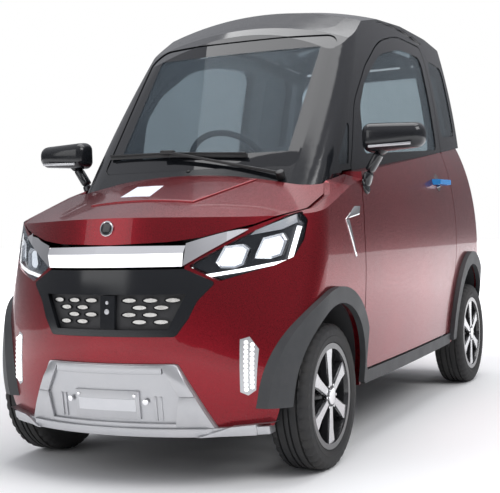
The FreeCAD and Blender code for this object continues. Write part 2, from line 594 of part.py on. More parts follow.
# Carrier behind the nose: two uprights, a bar and two stops that the bonnet rests on
carrier_x = (1225.0, 1255.0)
carrier_z = (790.0, 815.0)
stop_y = 240.0
carrier = [box(carrier_x[0], carrier_x[1], y - 15, y + 15, rail_z[1], carrier_z[1]) for y in (-265, 265)]
carrier.append(box(carrier_x[0], carrier_x[1], -280, 280, carrier_z[0], carrier_z[1]))
bonnet_under = crowned(bonnet_line, bonnet_crown_z, skin + seat_gap)
carrier += [rod((carrier_x[0] + 15, y, carrier_z[0] + 5), (carrier_x[0] + 15, y, 930), 12.0).common(bonnet_under)
            for y in (-stop_y, stop_y)]
tow_hole_radius = 6.5
tow_holes = [rod((-1340, y, 190), (-1280, y, 190), tow_hole_radius) for y in (-45.0, 45.0)]
beam = inside_skin.cut(body_form(skin + 40.0)).common(box(1200, 1500, -420, 420, 430, 480))
pieces.append(box(rack_x - 20, rack_x + 20, rail_y[0], rail_y[1], rail_z[1], rack_z + 20))
ladder = pieces[0].fuse(pieces[1:]).fuse(cross).fuse([mirrored(p) for p in pieces]).fuse([beam] + carrier)
ladder = ladder.cut([rod((rack_x, -300, rack_z), (rack_x, 300, rack_z), rack_radius + running_fit)] + tow_holes)
ladder = ladder.removeSplitter()
save("chassis_frame", ladder)
save("battery_pack", box(-670, -400, -330, 330, floor_z[1] + seat_gap, rear_floor_z[1]))

# Suspension: twin arms in front, live axle with its motor behind, coil springs
king_y = 460.0
king_z = (183.3, 330.7)
arm_z = (165.0, 183.0, 331.0, 349.0)
pin_radius = 8.0
boss_radius = 20.0
lower_arm = plan_cut([(895, 280.3), (1015, 280.3), (970, 455), (940, 455)], arm_z[0], arm_z[1])
upper_arm = plan_cut([(897, 280.3), (1013, 280.3), (970, 455), (940, 455)], arm_z[2], arm_z[3])
upper_arm = upper_arm.cut(plan_cut([(914, 275), (996, 275), (979, 380, 10), (931, 380, 10)], arm_z[2], arm_z[3]))
arms = []
for arm, z0, z1 in ((lower_arm, arm_z[0], arm_z[1]), (upper_arm, arm_z[2], arm_z[3])):
    boss = Part.makeCylinder(boss_radius, z1 - z0, Vector(front_axle_x, king_y, z0))
    bore = Part.makeCylinder(pin_radius + running_fit, z1 - z0 + 2, Vector(front_axle_x, king_y, z0 - 1))
    arms.append(arm.fuse(boss).cut(bore).removeSplitter())
save("front_axle", both(Part.makeCompound(arms)))


def spring(x, y, z0, z1):
    points = [(0, z0), (18, z0), (18, z0 + 20), (26, z0 + 20), (26, z1 - 30), (12, z1 - 30), (12, z1 - 8),
              (22, z1 - 8), (22, z1), (0, z1)]
    wire = Part.makePolygon([Vector(x + r, y, z) for r, z in points + points[:1]])
    return Part.Face(wire).revolve(Vector(x, y, 0), Vector(0, 0, 1), 360)


spindle_radius = 15.0
save("springs", both(Part.makeCompound([
    spring(front_axle_x, 332.0, arm_z[1] + seat_gap, front_house[1] + front_house[2] - sheet - 1.0),
    spring(rear_axle_x, 352.0, wheel_z + axle_radius + seat_gap, rear_floor_z[0] - seat_gap)])))
axle = rod((rear_axle_x, -495, wheel_z), (rear_axle_x, 495, wheel_z), axle_radius).fuse(
    [rod((rear_axle_x, -572, wheel_z), (rear_axle_x, 572, wheel_z), spindle_radius),
     rod((rear_axle_x, -70, wheel_z), (rear_axle_x, 180, wheel_z), 92.0),
     both(side_cut([(rear_axle_x - 30, wheel_z - 15), (-730, 185), (-700, 185), (-700, 212), (-730, 212),
                    (rear_axle_x - 30, wheel_z + 15)], rail_y[1] + seat_gap, rail_y[1] + 22))]).removeSplitter()
save("rear_axle", axle)

# Knuckles turn on their kingpins and carry the front wheels
upright = box(front_axle_x - 18, front_axle_x + 18, king_y - 14, king_y + 14, king_z[0], king_z[1])
pin = Part.makeCylinder(pin_radius, arm_z[3] - arm_z[0] - 2, Vector(front_axle_x, king_y, arm_z[0] + 1))
flange = rod((front_axle_x, king_y + 12, wheel_z), (front_axle_x, king_y + 26, wheel_z), 55.0)
spindle = rod((front_axle_x, king_y, wheel_z), (front_axle_x, 572, wheel_z), spindle_radius)
steer_arm = plan_cut([(front_axle_x, king_y - 14), (rack_x, king_y - 12, 11), (rack_x + 14, king_y, 11),
                      (rack_x, king_y + 12, 11), (front_axle_x, king_y + 14)], steer_arm_z[0], steer_arm_z[1])
knuckle = upright.fuse([pin, flange, spindle, steer_arm]).removeSplitter()
tie_end_y = king_y - 4
rack = rod((rack_x, -430, rack_z), (rack_x, 430, rack_z), rack_radius).fuse(
    [rod((rack_x, -tie_end_y, rack_z), (rack_x, tie_end_y, rack_z), 7.0)]
    + [Part.makeCylinder(tie_end, 2 * tie_end, Vector(rack_x, y, rack_z - tie_end))
       for y in (-tie_end_y, tie_end_y)]).removeSplitter()
save("steering_rack", rack)
for side, name in sides:
    save("knuckle_" + name, turned(knuckle, side))

# Wheels
rim_profile = [(180, -66), (180, -60), (168, -56), (168, 56), (180, 60), (180, 66), (161, 66), (157, 50),
               (157, -50), (161, -66)]
tyre_profile = [(168.3, -55.5), (180.3, -59.5), (184, -68), (200, -72.5), (225, -71), (240, -64), (247.5, -52),
                (247.5, 52), (240, 64), (225, 71), (200, 72.5), (184, 68), (180.3, 59.5), (168.3, 55.5)]
hub_profile = [(spindle_radius + running_fit, -25), (48, -25), (48, 20), (38, 44), (38, 58),
               (spindle_radius + running_fit, 58)]
spoke_y = (34.0, 56.0)
spoke_count = 6


def wheel(x, side):
    y = wheel_y
    rim = turned_y(rim_profile, x, y, wheel_z).fuse(turned_y(hub_profile, x, y, wheel_z))
    spokes = []
    for i in range(spoke_count):
        blade = side_cut([(x + 30, wheel_z - 15), (x + 162, wheel_z - 27), (x + 162, wheel_z + 27),
                          (x + 30, wheel_z + 15)], y + spoke_y[0], y + spoke_y[1])
        blade.rotate(Vector(x, y, wheel_z), Vector(0, 1, 0), 30 + i * 360 / spoke_count)
        spokes.append(blade)
    rim = rim.fuse(spokes).removeSplitter()
    return turned(turned_y(tyre_profile, x, y, wheel_z), side), turned(rim, side)


for x, end in ((front_axle_x, "front"), (rear_axle_x, "rear")):
    for side, name in sides:
        tyre, rim = wheel(x, side)
        save("tyre_%s_%s" % (end, name), tyre)
        save("rim_%s_%s" % (end, name), rim)

# Inside: dashboard, steering, seats
steer_centre = (480.0, 0.0, 1063.0)
steer_axis = Vector(0.8192, 0, -0.5736)
column_start = 62.0
column_end = 215.0


def along(s):
    base = Vector(*steer_centre)
    return base + steer_axis * s


column = Part.makeCylinder(22, column_end - column_start, along(column_start), steer_axis)
shaft_radius = 11.0
column_bore = Part.makeCylinder(shaft_radius + running_fit, column_end, along(0), steer_axis)
save("steering_column", column.cut(column_bore))
dash = side_cut([(699.5, 760), (699.5, 1020, 10), (620, 1040, 30), (520, 1030, 20), (462, 985, 20),
                 (470, 930, 20), (560, 860, 20), (600, 760)], -438, 438)
dash = dash.cut(Part.makeCylinder(22 + seat_gap, 400, along(0), steer_axis))
save("dashboard", dash)
rim_ring = Part.makeTorus(168, 12, Vector(*steer_centre), steer_axis)
hub = Part.makeCylinder(42, 34, along(-8), steer_axis)
shaft = Part.makeCylinder(shaft_radius, 150, along(20), steer_axis)
spokes = []
for angle in (0, 90, 180):
    spoke = box(0, 168, -14, 14, -5, 5)
    spoke.rotate(Vector(0, 0, 0), Vector(0, 0, 1), angle - 90)
    spoke.Placement = FreeCAD.Placement(along(6), FreeCAD.Rotation(Vector(0, 0, 1), steer_axis)).multiply(
        spoke.Placement)
    spokes.append(spoke)
save("steering_wheel", rim_ring.fuse([hub, shaft] + spokes).removeSplitter())

cushion = side_cut([(-105, 430), (345, 430, 20), (352, 500, 30), (300, 525, 40), (-60, 505, 40), (-110, 480, 20)],
                   -240, 240)
save("driver_cushion", cushion)
save("driver_backrest", side_cut([(-108, 500, 20), (-60, 540, 30), (-158, 1010, 50), (-178, 1190, 30), (-240, 1195, 30),
                                  (-250, 1010, 40), (-190, 510, 20)], -215, 215))
save("bench_cushion", side_cut([(-420, rear_floor_z[1] + seat_gap), (-415, 530, 30), (-500, 548, 40),
                                (-770, 520, 40), (-780, rear_floor_z[1] + seat_gap)], -400, 400))
save("bench_backrest", side_cut([(-795, 530, 20), (-782, 560, 20), (-850, 990, 30), (-905, 1000, 30), (-905, 560),
                                 (-860, 530)], -400, 400))
seat_base = box(-80, 320, -200, 200, floor_z[1] + seat_gap, 430 - seat_gap)
seat_link = side_cut([(-80, 400), (-80, 430 - seat_gap), (-187, 430 - seat_gap), (-194, 540), (-243.2, 950),
                      (-256, 950), (-206, 540), (-206, 400)], -180, 180)
seat_panel = box(-925, -905 - seat_gap, -410, 410, rear_floor_z[1] + seat_gap, 990)
save("seat_frames", Part.makeCompound([seat_base.fuse(seat_link).removeSplitter(), seat_panel]))

# Mirrors and handles ride on the doors
mirror_shell = box(545, 640, 640, 850, 1085, 1200)
mirror_arm = side_cut([(560, 960, 12), (600, 960, 12), (610, 1100, 10), (565, 1100, 10)], 590, 660)
handle_bar = box(-560, -380, 606, 632, 992, 1014)
mirror = mirror_shell.fuse(mirror_arm.cut(body_form(-seat_gap))).removeSplitter()
handle = handle_bar.fuse([box(-560, -535, 560, 620, 990, 1016), box(-405, -380, 560, 620, 990, 1016)])
handle = handle.cut(body_form(-seat_gap)).removeSplitter()
for side, name in sides:
    save("mirror_" + name, turned(mirror, side))
    save("door_handle_" + name, turned(handle, side))
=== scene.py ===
import bpy, bmesh, json, math
from mathutils import Vector, Matrix

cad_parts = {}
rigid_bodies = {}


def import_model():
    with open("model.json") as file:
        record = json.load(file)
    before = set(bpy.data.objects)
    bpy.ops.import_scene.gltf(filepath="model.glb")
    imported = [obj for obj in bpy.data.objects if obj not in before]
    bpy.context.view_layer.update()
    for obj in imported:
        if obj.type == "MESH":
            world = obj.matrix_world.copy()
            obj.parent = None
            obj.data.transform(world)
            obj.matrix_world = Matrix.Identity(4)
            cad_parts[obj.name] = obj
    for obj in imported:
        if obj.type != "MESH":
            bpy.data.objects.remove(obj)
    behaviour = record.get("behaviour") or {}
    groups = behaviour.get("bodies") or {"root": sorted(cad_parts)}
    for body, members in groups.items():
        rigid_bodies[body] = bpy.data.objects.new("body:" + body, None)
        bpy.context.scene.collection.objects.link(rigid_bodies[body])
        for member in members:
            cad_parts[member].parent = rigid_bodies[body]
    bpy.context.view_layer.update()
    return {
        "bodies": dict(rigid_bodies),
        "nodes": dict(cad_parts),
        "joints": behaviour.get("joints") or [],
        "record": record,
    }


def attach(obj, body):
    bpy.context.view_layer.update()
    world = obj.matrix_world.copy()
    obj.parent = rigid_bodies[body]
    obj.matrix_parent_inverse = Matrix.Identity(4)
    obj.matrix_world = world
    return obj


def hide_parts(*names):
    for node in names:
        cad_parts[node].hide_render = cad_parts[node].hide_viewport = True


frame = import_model()
cadNodes = frame["nodes"]

# camera

camera = {"place": (4.289, 1.887, 0.849), "yaw": 205.4, "pitch": -1.37, "roll": -1.66, "lens": 75.8}


def makeCamera(c):
    yaw, pitch, roll = (math.radians(c[k]) for k in ("yaw", "pitch", "roll"))
    ahead = Vector((math.cos(yaw) * math.cos(pitch), math.sin(yaw) * math.cos(pitch), math.sin(pitch)))
    side = ahead.cross(Vector((0, 0, 1))).normalized()
    over = side.cross(ahead)
    right = side * math.cos(roll) + over * math.sin(roll)
    up = over * math.cos(roll) - side * math.sin(roll)
    data = bpy.data.cameras.new("photoCamera")
    data.sensor_fit = "HORIZONTAL"
    data.sensor_width = 36.0
    data.lens = c["lens"]
    data.clip_end = 60.0
    cam = bpy.data.objects.new("photoCamera", data)
    cam.matrix_world = Matrix((right, up, -ahead)).transposed().to_4x4()
    cam.matrix_world.translation = Vector(c["place"])
    bpy.context.scene.collection.objects.link(cam)
    bpy.context.scene.camera = cam


makeCamera(camera)
bpy.context.scene.view_settings.view_transform = "Standard"

# shader node groups: effects that several finishes share


def newGroup(name, inputs, outputs):
    group = bpy.data.node_groups.new(name, "ShaderNodeTree")
    for label, kind, value in inputs:
        sock = group.interface.new_socket(name=label, in_out="INPUT", socket_type=kind)
        sock.default_value = value
    for label, kind in outputs:
        group.interface.new_socket(name=label, in_out="OUTPUT", socket_type=kind)
    return group, group.nodes.new("NodeGroupInput"), group.nodes.new("NodeGroupOutput")


def addNode(tree, kind, links=None, **values):
    # one node, its socket values by name or index, then its incoming links
    n = tree.nodes.new(kind)
    for key, value in values.items():
        if hasattr(n, key):
            setattr(n, key, value)
    for key, value in (links or {}).items():
        if isinstance(value, bpy.types.NodeSocket):
            tree.links.new(value, n.inputs[key])
        else:
            n.inputs[key].default_value = value
    return n


def ramp(tree, value, low, high, start=0.0, end=1.0):
    # value's range low to high becomes start to end
    return addNode(tree, "ShaderNodeMapRange", {0: value, 1: low, 2: high, 3: start, 4: end}).outputs[0]


def maths(tree, operation, a, b):
    return addNode(tree, "ShaderNodeMath", {0: a, 1: b}, operation=operation)


floatSocket, colorSocket = "NodeSocketFloat", "NodeSocketColor"


def makeFlakeGroup():
    # metal flake and a soft tone change of candy paint
    g, gin, gout = newGroup("candyFlake", [("Coat colour", colorSocket, (0.4, 0.0, 0.01, 1)),
                                           ("Deep colour", colorSocket, (0.12, 0.0, 0.005, 1)),
                                           ("Flake size", floatSocket, 900.0), ("Flake amount", floatSocket, 0.3)],
                            [("Color", colorSocket), ("Roughness", floatSocket), ("Height", floatSocket)])
    where = addNode(g, "ShaderNodeTexCoord")
    flakes = addNode(g, "ShaderNodeTexVoronoi", {"Vector": where.outputs["Object"], "Scale": gin.outputs["Flake size"]})
    soft = addNode(g, "ShaderNodeTexNoise", {"Vector": where.outputs["Object"], "Scale": 2.5, "Detail": 3.0})
    tone = ramp(g, soft.outputs["Fac"], 0.3, 0.7, 0.0, 0.25)
    bright = addNode(g, "ShaderNodeSeparateColor", {0: flakes.outputs["Color"]})
    lit = maths(g, "MULTIPLY", bright.outputs[0], gin.outputs["Flake amount"])
    both = maths(g, "ADD", lit.outputs[0], tone)
    mix = addNode(g, "ShaderNodeMixRGB", {0: both.outputs[0], 1: gin.outputs["Deep colour"],
                                          2: gin.outputs["Coat colour"]})
    rough = ramp(g, bright.outputs[1], 0.0, 1.0, 0.22, 0.36)
    g.links.new(mix.outputs[0], gout.inputs["Color"])
    g.links.new(rough, gout.inputs["Roughness"])
    g.links.new(soft.outputs["Fac"], gout.inputs["Height"])
    return g


def makeGrainGroup():
    # moulded grain and faint scuffs of plastic, rubber and powder coat; in the grille hollows the same patches are
    # brighter painted light
    g, gin, gout = newGroup("mouldedGrain", [("Base", colorSocket, (0.03, 0.03, 0.03, 1)),
                                             ("Worn and lit", colorSocket, (0.06, 0.06, 0.06, 1)),
                                             ("Grain size", floatSocket, 700.0), ("Roughness low", floatSocket, 0.5),
                                             ("Roughness high", floatSocket, 0.7)],
                            [("Color", colorSocket), ("Roughness", floatSocket), ("Height", floatSocket)])
    where = addNode(g, "ShaderNodeTexCoord")
    grain = addNode(g, "ShaderNodeTexVoronoi", {"Vector": where.outputs["Object"], "Scale": gin.outputs["Grain size"]})
    dust = addNode(g, "ShaderNodeTexNoise", {"Vector": where.outputs["Object"], "Scale": 9.0, "Detail": 8.0,
                                             "Roughness": 0.65})
    wornAndLit = ramp(g, dust.outputs["Fac"], 0.42, 0.75, 0.0, 0.8)
    mix = addNode(g, "ShaderNodeMixRGB", {0: wornAndLit, 1: gin.outputs["Base"], 2: gin.outputs["Worn and lit"]})
    rough = ramp(g, dust.outputs["Fac"], 0.3, 0.7, gin.outputs["Roughness low"], gin.outputs["Roughness high"])
    g.links.new(mix.outputs[0], gout.inputs["Color"])
    g.links.new(rough, gout.inputs["Roughness"])
    g.links.new(grain.outputs["Distance"], gout.inputs["Height"])
    return g


def makeSmudgeGroup():
    # faint dust and wipe marks on glass, chrome and gloss black
    g, gin, gout = newGroup("dustFilm", [("Base", colorSocket, (0.5, 0.5, 0.5, 1)),
                                         ("Dust", colorSocket, (0.6, 0.6, 0.6, 1)),
                                         ("Dust amount", floatSocket, 0.1), ("Roughness low", floatSocket, 0.02),
                                         ("Roughness high", floatSocket, 0.08)],
                            [("Color", colorSocket), ("Roughness", floatSocket)])
    where = addNode(g, "ShaderNodeTexCoord")
    cloud = addNode(g, "ShaderNodeTexNoise", {"Vector": where.outputs["Object"], "Scale": 5.0, "Detail": 6.0})
    amount = maths(g, "MULTIPLY", cloud.outputs["Fac"], gin.outputs["Dust amount"])
    mix = addNode(g, "ShaderNodeMixRGB", {0: amount.outputs[0], 1: gin.outputs["Base"], 2: gin.outputs["Dust"]})
    rough = ramp(g, cloud.outputs["Fac"], 0.35, 0.7, gin.outputs["Roughness low"], gin.outputs["Roughness high"])
    g.links.new(mix.outputs[0], gout.inputs["Color"])
    g.links.new(rough, gout.inputs["Roughness"])
    return g


flakeGroup = makeFlakeGroup()
grainGroup = makeGrainGroup()
smudgeGroup = makeSmudgeGroup()
print("shader groups made")


def newMaterial(name):
    m = bpy.data.materials.new(name)
    m.use_nodes = True
    bsdf = m.node_tree.nodes["Principled BSDF"]
    return m, m.node_tree, bsdf


def useGroup(tree, group, bsdf, values, height=0.0, distance=0.001):
    n = tree.nodes.new("ShaderNodeGroup")
    n.node_tree = group
    for key, value in values.items():
        n.inputs[key].default_value = value
    tree.links.new(n.outputs["Color"], bsdf.inputs["Base Color"])
    tree.links.new(n.outputs["Roughness"], bsdf.inputs["Roughness"])
    if height:
        bump = addNode(tree, "ShaderNodeBump", {"Strength": height, "Distance": distance,
                                                "Height": n.outputs["Height"]})
        tree.links.new(bump.outputs[0], bsdf.inputs["Normal"])


def candyPaint():
    m, t, b = newMaterial("candyRedPaint")
    useGroup(t, flakeGroup, b, {"Coat colour": (0.34, 0.002, 0.014, 1), "Deep colour": (0.12, 0.0004, 0.004, 1),
                                "Flake amount": 0.5})
    b.inputs["Metallic"].default_value = 0.8
    b.inputs["Coat Weight"].default_value = 0.45
    b.inputs["Coat Roughness"].default_value = 0.03
    b.inputs["Coat IOR"].default_value = 1.55
    return m


def grained(name, base, wornAndLit, size=700.0, low=0.5, high=0.7, bump=0.25, metallic=0.0, specular=0.5):
    m, t, b = newMaterial(name)
    useGroup(t, grainGroup, b, {"Base": (*base, 1), "Worn and lit": (*wornAndLit, 1), "Grain size": size, "Roughness low": low,
                                "Roughness high": high}, bump, 0.0006)
    b.inputs["Metallic"].default_value = metallic
    b.inputs["Specular IOR Level"].default_value = specular
    return m


def polished(name, base, dust, amount=0.1, low=0.03, high=0.1, metallic=0.0, coat=0.0):
    m, t, b = newMaterial(name)
    useGroup(t, smudgeGroup, b, {"Base": (*base, 1), "Dust": (*dust, 1), "Dust amount": amount, "Roughness low": low,
                                 "Roughness high": high})
    b.inputs["Metallic"].default_value = metallic
    b.inputs["Coat Weight"].default_value = coat
    b.inputs["Coat Roughness"].default_value = 0.02
    return m


glassTone, printBlack, printFade = (0.10, 0.12, 0.14, 1), (0.008, 0.009, 0.011, 1), 0.003


def clearGlass(name, tint, film=0.05, shine=0.45, border=None):
    # clear glass that lets light through to the cabin, with a faint film and sheen; border is its black printed edge
    m, t, b = newMaterial(name)
    useGroup(t, smudgeGroup, b, {"Base": glassTone, "Dust": (0.5, 0.52, 0.54, 1), "Dust amount": 0.3,
                                 "Roughness low": 0.01, "Roughness high": 0.04})
    clear = addNode(t, "ShaderNodeBsdfTransparent", {"Color": (*tint, 1)})
    glancing = addNode(t, "ShaderNodeFresnel", {"IOR": 1.4})
    sheen = addNode(t, "ShaderNodeMath", {0: glancing.outputs[0], 1: shine, 2: film}, operation="MULTIPLY_ADD")
    amount = sheen.outputs[0]
    if border:
        where = addNode(t, "ShaderNodeTexCoord")
        axes = addNode(t, "ShaderNodeSeparateXYZ", {0: where.outputs["Object"]})
        side = addNode(t, "ShaderNodeMath", {0: axes.outputs["Y"]}, operation="ABSOLUTE")
        half, low, high = border
        rim = ramp(t, side.outputs[0], half, half + printFade)
        for edge in (ramp(t, axes.outputs["Z"], low - printFade, low, 1.0, 0.0),
                     ramp(t, axes.outputs["Z"], high, high + printFade)):
            rim = maths(t, "MAXIMUM", rim, edge).outputs[0]
        amount = maths(t, "MAXIMUM", rim, amount).outputs[0]
        tone = addNode(t, "ShaderNodeMixRGB", {0: rim, 1: glassTone, 2: printBlack})
        t.links.new(tone.outputs[0], b.inputs["Base Color"])
    mix = addNode(t, "ShaderNodeMixShader", {0: amount, 1: clear.outputs[0], 2: b.outputs[0]})
    t.links.new(mix.outputs[0], t.nodes["Material Output"].inputs["Surface"])
    return m


def glowing(name, color, strength):
    m, t, b = newMaterial(name)
    useGroup(t, smudgeGroup, b, {"Base": (*color, 1), "Dust": (0.8, 0.8, 0.8, 1), "Roughness low": 0.2,
                                 "Roughness high": 0.3})
    b.inputs["Emission Color"].default_value = (*color, 1)
    b.inputs["Emission Strength"].default_value = strength
    return m


mats = {
    "paint": candyPaint(),
    "blackGloss": polished("pillarBlack", (0.008, 0.009, 0.011), (0.1, 0.1, 0.11), 0.04, 0.10, 0.18, coat=0.0),
    "glass": clearGlass("clearWindow", (0.80, 0.85, 0.87)),
    "screen": clearGlass("bandedScreen", (0.80, 0.85, 0.88), 0.10, 0.3, border=(0.360, 1.105, 1.533)),
    "tinted": clearGlass("tintedWindow", (0.30, 0.33, 0.34), 0.2),
    "lens": clearGlass("lampLens", (0.97, 0.98, 0.99), 0.0),
    "chrome": polished("brightChrome", (0.86, 0.86, 0.87), (0.6, 0.6, 0.6), 0.08, 0.03, 0.09, metallic=1.0),
    "silver": grained("silverPaint", (0.47, 0.475, 0.49), (0.53, 0.53, 0.54), 1400.0, 0.28, 0.4, 0.05, 0.75),
    "flare": grained("grainedTrim", (0.030, 0.032, 0.035), (0.055, 0.056, 0.058), 650.0, 0.42, 0.6, 0.35),
    "plastic": grained("cabinPlastic", (0.020, 0.020, 0.022), (0.035, 0.035, 0.036), 500.0, 0.45, 0.65, 0.4),
    "steel": grained("chassisCoat", (0.016, 0.016, 0.017), (0.05, 0.045, 0.04), 250.0, 0.45, 0.7, 0.3),
    "rubber": grained("tyreRubber", (0.016, 0.016, 0.017), (0.045, 0.043, 0.040), 420.0, 0.6, 0.85, 0.25),
    "rimBlack": polished("rimBlack", (0.014, 0.014, 0.016), (0.2, 0.2, 0.2), 0.1, 0.1, 0.25, coat=0.5),
    "machined": grained("machinedFace", (0.62, 0.62, 0.63), (0.70, 0.70, 0.71), 1500.0, 0.2, 0.32, 0.05, 1.0),
    "cloth": grained("seatCloth", (0.028, 0.028, 0.031), (0.05, 0.05, 0.054), 380.0, 0.85, 0.97, 0.8),
    "redLens": polished("tailLens", (0.35, 0.004, 0.006), (0.4, 0.1, 0.1), 0.05, 0.05, 0.12, coat=1.0),
    "led": glowing("ledWhite", (1.0, 1.0, 1.0), 1.6),
    "film": polished("blueFilm", (0.0, 0.22, 0.62), (0.3, 0.6, 0.9), 0.2, 0.1, 0.2, coat=0.4),
}
print("materials made")

nodeFinish = {
    "paint": ("door_left", "door_right", "bonnet", "front_fenders", "front_bumper", "rear_bumper", "rear_quarters",
              "tailgate"),
    "blackGloss": ("door_frame_left", "door_frame_right", "cabin_frame", "roof", "tailgate_frame", "grille",
                   "mirror_left", "mirror_right"),
    "glass": ("door_glass_left", "door_glass_right", "rear_window"),
    "screen": ("windscreen",),
    "tinted": ("quarter_windows",),
    "lens": ("headlights",),
    "led": ("daytime_lights",),
    "redLens": ("tail_lights",),
    "chrome": ("grille_bar",),
    "silver": ("skid_plate",),
    "film": ("door_handle_left", "door_handle_right"),
    "flare": ("arch_flares", "sill_trims", "cowl_panel"),
    "plastic": ("floor_pan", "battery_pack", "dashboard", "steering_wheel", "steering_column"),
    "steel": ("chassis_frame", "front_axle", "springs", "rear_axle", "steering_rack", "knuckle_left", "knuckle_right",
              "seat_frames"),
    "rubber": tuple("tyre_%s_%s" % (e, s) for e in ("front", "rear") for s in ("left", "right")),
    "rimBlack": tuple("rim_%s_%s" % (e, s) for e in ("front", "rear") for s in ("left", "right")),
    "cloth": ("driver_cushion", "driver_backrest", "bench_cushion", "bench_backrest"),
}
for finish, names in nodeFinish.items():
    for name in names:
        slots = cadNodes[name].data.materials
        if not slots:
            slots.append(mats[finish])
        for i in range(len(slots)):
            slots[i] = mats[finish]
print("CAD nodes finished")

# hand tools: everything below is shaped with them

merge = 0.00001


def clearSelection():
    if bpy.context.object and bpy.context.object.mode != "OBJECT":
        bpy.ops.object.mode_set(mode="OBJECT")
    bpy.ops.object.select_all(action="DESELECT")


def activate(o):
    clearSelection()
    o.select_set(True)
    bpy.context.view_layer.objects.active = o
    return o


def openEdit(o):
    activate(o)
    bpy.ops.object.mode_set(mode="EDIT")
    bpy.ops.mesh.select_mode(type="VERT")
    bpy.ops.mesh.select_all(action="SELECT")


def closeEdit():
    bpy.ops.object.mode_set(mode="OBJECT")


def pick(o, kind, test):
    bpy.ops.mesh.select_mode(type=kind)
    bpy.ops.mesh.select_all(action="DESELECT")
    bm = bmesh.from_edit_mesh(o.data)
    for part in bm.faces if kind == "FACE" else bm.verts:
        part.select_set(test(part))
    bm.select_flush_mode()
    bmesh.update_edit_mesh(o.data)


def pickVerts(o, test):
    pick(o, "VERT", lambda v: test(v.co))


def pickIndices(o, wanted):
    pick(o, "VERT", lambda v: v.index in wanted)


def pickFaces(o, test):
    pick(o, "FACE", lambda f: test(f.calc_center_median(), f.normal))


def settle(o):
    # place and turn go into the mesh, so the object sits at the origin
    activate(o)
    bpy.ops.object.transform_apply(location=True, rotation=True, scale=True)
    return o


def applyModifier(o, kind, **values):
    activate(o)
    mod = o.modifiers.new(kind.title(), kind)
    for key, value in values.items():
        setattr(mod, key, value)
    bpy.ops.object.modifier_apply(modifier=mod.name)


def soften(o, width, segments=2, angle=35):
    applyModifier(o, "BEVEL", width=width, segments=segments, limit_method="ANGLE", angle_limit=math.radians(angle))
    return o


def joinAll(name, parts):
    clearSelection()
    for p in parts:
        p.select_set(True)
    bpy.context.view_layer.objects.active = parts[0]
    if len(parts) > 1:
        bpy.ops.object.join()
    parts[0].name = name
    parts[0].data.name = name
    return parts[0]


def copyOf(o, name, move=(0, 0, 0), mirror=False):
    # a copy with its own mesh, moved or mirrored to the other side of the car
    c = bpy.data.objects.new(name, o.data.copy())
    bpy.context.scene.collection.objects.link(c)
    c.location = move
    if mirror:
        c.scale = (1, -1, 1)
    return settle(c)


def copyNodes(name, nodes):
    parts = []
    for n in nodes:
        c = bpy.data.objects.new(name, cadNodes[n].data.copy())
        c.matrix_world = cadNodes[n].matrix_world
        c.data.materials.clear()
        bpy.context.scene.collection.objects.link(c)
        parts.append(c)
    o = settle(joinAll(name, parts))
    openEdit(o)
    bpy.ops.mesh.customdata_custom_splitnormals_clear()
    bpy.ops.mesh.remove_doubles(threshold=merge)
    closeEdit()
    return o


def remove(o):
    bpy.data.objects.remove(o, do_unlink=True)


def finishPiece(o, finish, body, smooth=35):
    # normals, shading, material and body of a finished piece
    openEdit(o)
    bpy.ops.mesh.remove_doubles(threshold=merge)
    bpy.ops.mesh.normals_make_consistent(inside=False)
    closeEdit()
    settle(o)
    bpy.ops.object.shade_smooth_by_angle(angle=math.radians(smooth))
    if finish:
        o.data.materials.clear()
        o.data.materials.append(mats[finish])
    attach(o, body)


sheetPlanes = {
    # turn of the grid, its normal, and where (a, b) of an outline lie in space
    "front": ((0, math.pi / 2, 0), Vector((1, 0, 0)), lambda a, b, far: Vector((far, a, b))),
    "top": ((0, 0, 0), Vector((0, 0, 1)), lambda a, b, far: Vector((a, b, far))),
    "left": ((-math.pi / 2, 0, 0), Vector((0, 1, 0)), lambda a, b, far: Vector((a, far, b))),
}


def sheet(name, outline, far, plane="front", cellA=0.012, cellB=0.012):
    # a grid cut to a convex outline, standing off the car
    turn, out, at = sheetPlanes[plane]
    aa, bb = [p[0] for p in outline], [p[1] for p in outline]
    midA, midB = (min(aa) + max(aa)) / 2, (min(bb) + max(bb)) / 2
    wide, tall = max(aa) - min(aa), max(bb) - min(bb)
    nA, nB = max(1, round(wide / cellA)), max(1, round(tall / cellB))
    if plane == "front":
        wide, tall, nA, nB = tall, wide, nB, nA
    bpy.ops.mesh.primitive_grid_add(x_subdivisions=nA, y_subdivisions=nB, size=1.0, location=at(midA, midB, far),
                                    rotation=turn, scale=(wide, tall, 1))
    o = settle(bpy.context.active_object)
    o.name = name
    openEdit(o)
    for i in range(len(outline)):
        (a1, b1), (a2, b2) = outline[i], outline[(i + 1) % len(outline)]
        na, nb = b2 - b1, a1 - a2
        if na * (midA - a1) + nb * (midB - b1) > 0:
            na, nb = -na, -nb
        bpy.ops.mesh.select_all(action="SELECT")
        bpy.ops.mesh.bisect(plane_co=at(a1, b1, far), plane_no=at(na, nb, 0), clear_outer=True, threshold=merge)
    closeEdit()
    return o


# sideways steps to try where a point misses, and how far out along x, y and z the uncut sheets stand at least
nudges = [Vector((a, b)) for r in (0.001, 0.0025, 0.005, 0.008) for a, b in ((0, r), (0, -r), (r, 0), (-r, 0))]
farEnough = (1.5, 0.75, 1.2)
stillFar = 0.0005


def patchMisses(o, form, out):
    # a point over a shut line takes its depth from the panel beside it; what lies off the car is deleted
    k = [abs(c) > 0.5 for c in out].index(True)
    others = [i for i in range(3) if i != k]
    start = max(abs(v.co[k]) for v in o.data.vertices)
    lost = []
    for v in o.data.vertices:
        if abs(abs(v.co[k]) - start) > stillFar or start < farEnough[k]:
            continue
        for nudge in nudges:
            source = v.co.copy()
            source[others[0]] += nudge[0]
            source[others[1]] += nudge[1]
            hit, place, normal, index = form.ray_cast(source, -out)
            if hit:
                v.co[k] = place[k]
                break
        else:
            lost.append(v.index)
    if lost:
        openEdit(o)
        pickIndices(o, set(lost))
        bpy.ops.mesh.delete(type="VERT")
        closeEdit()


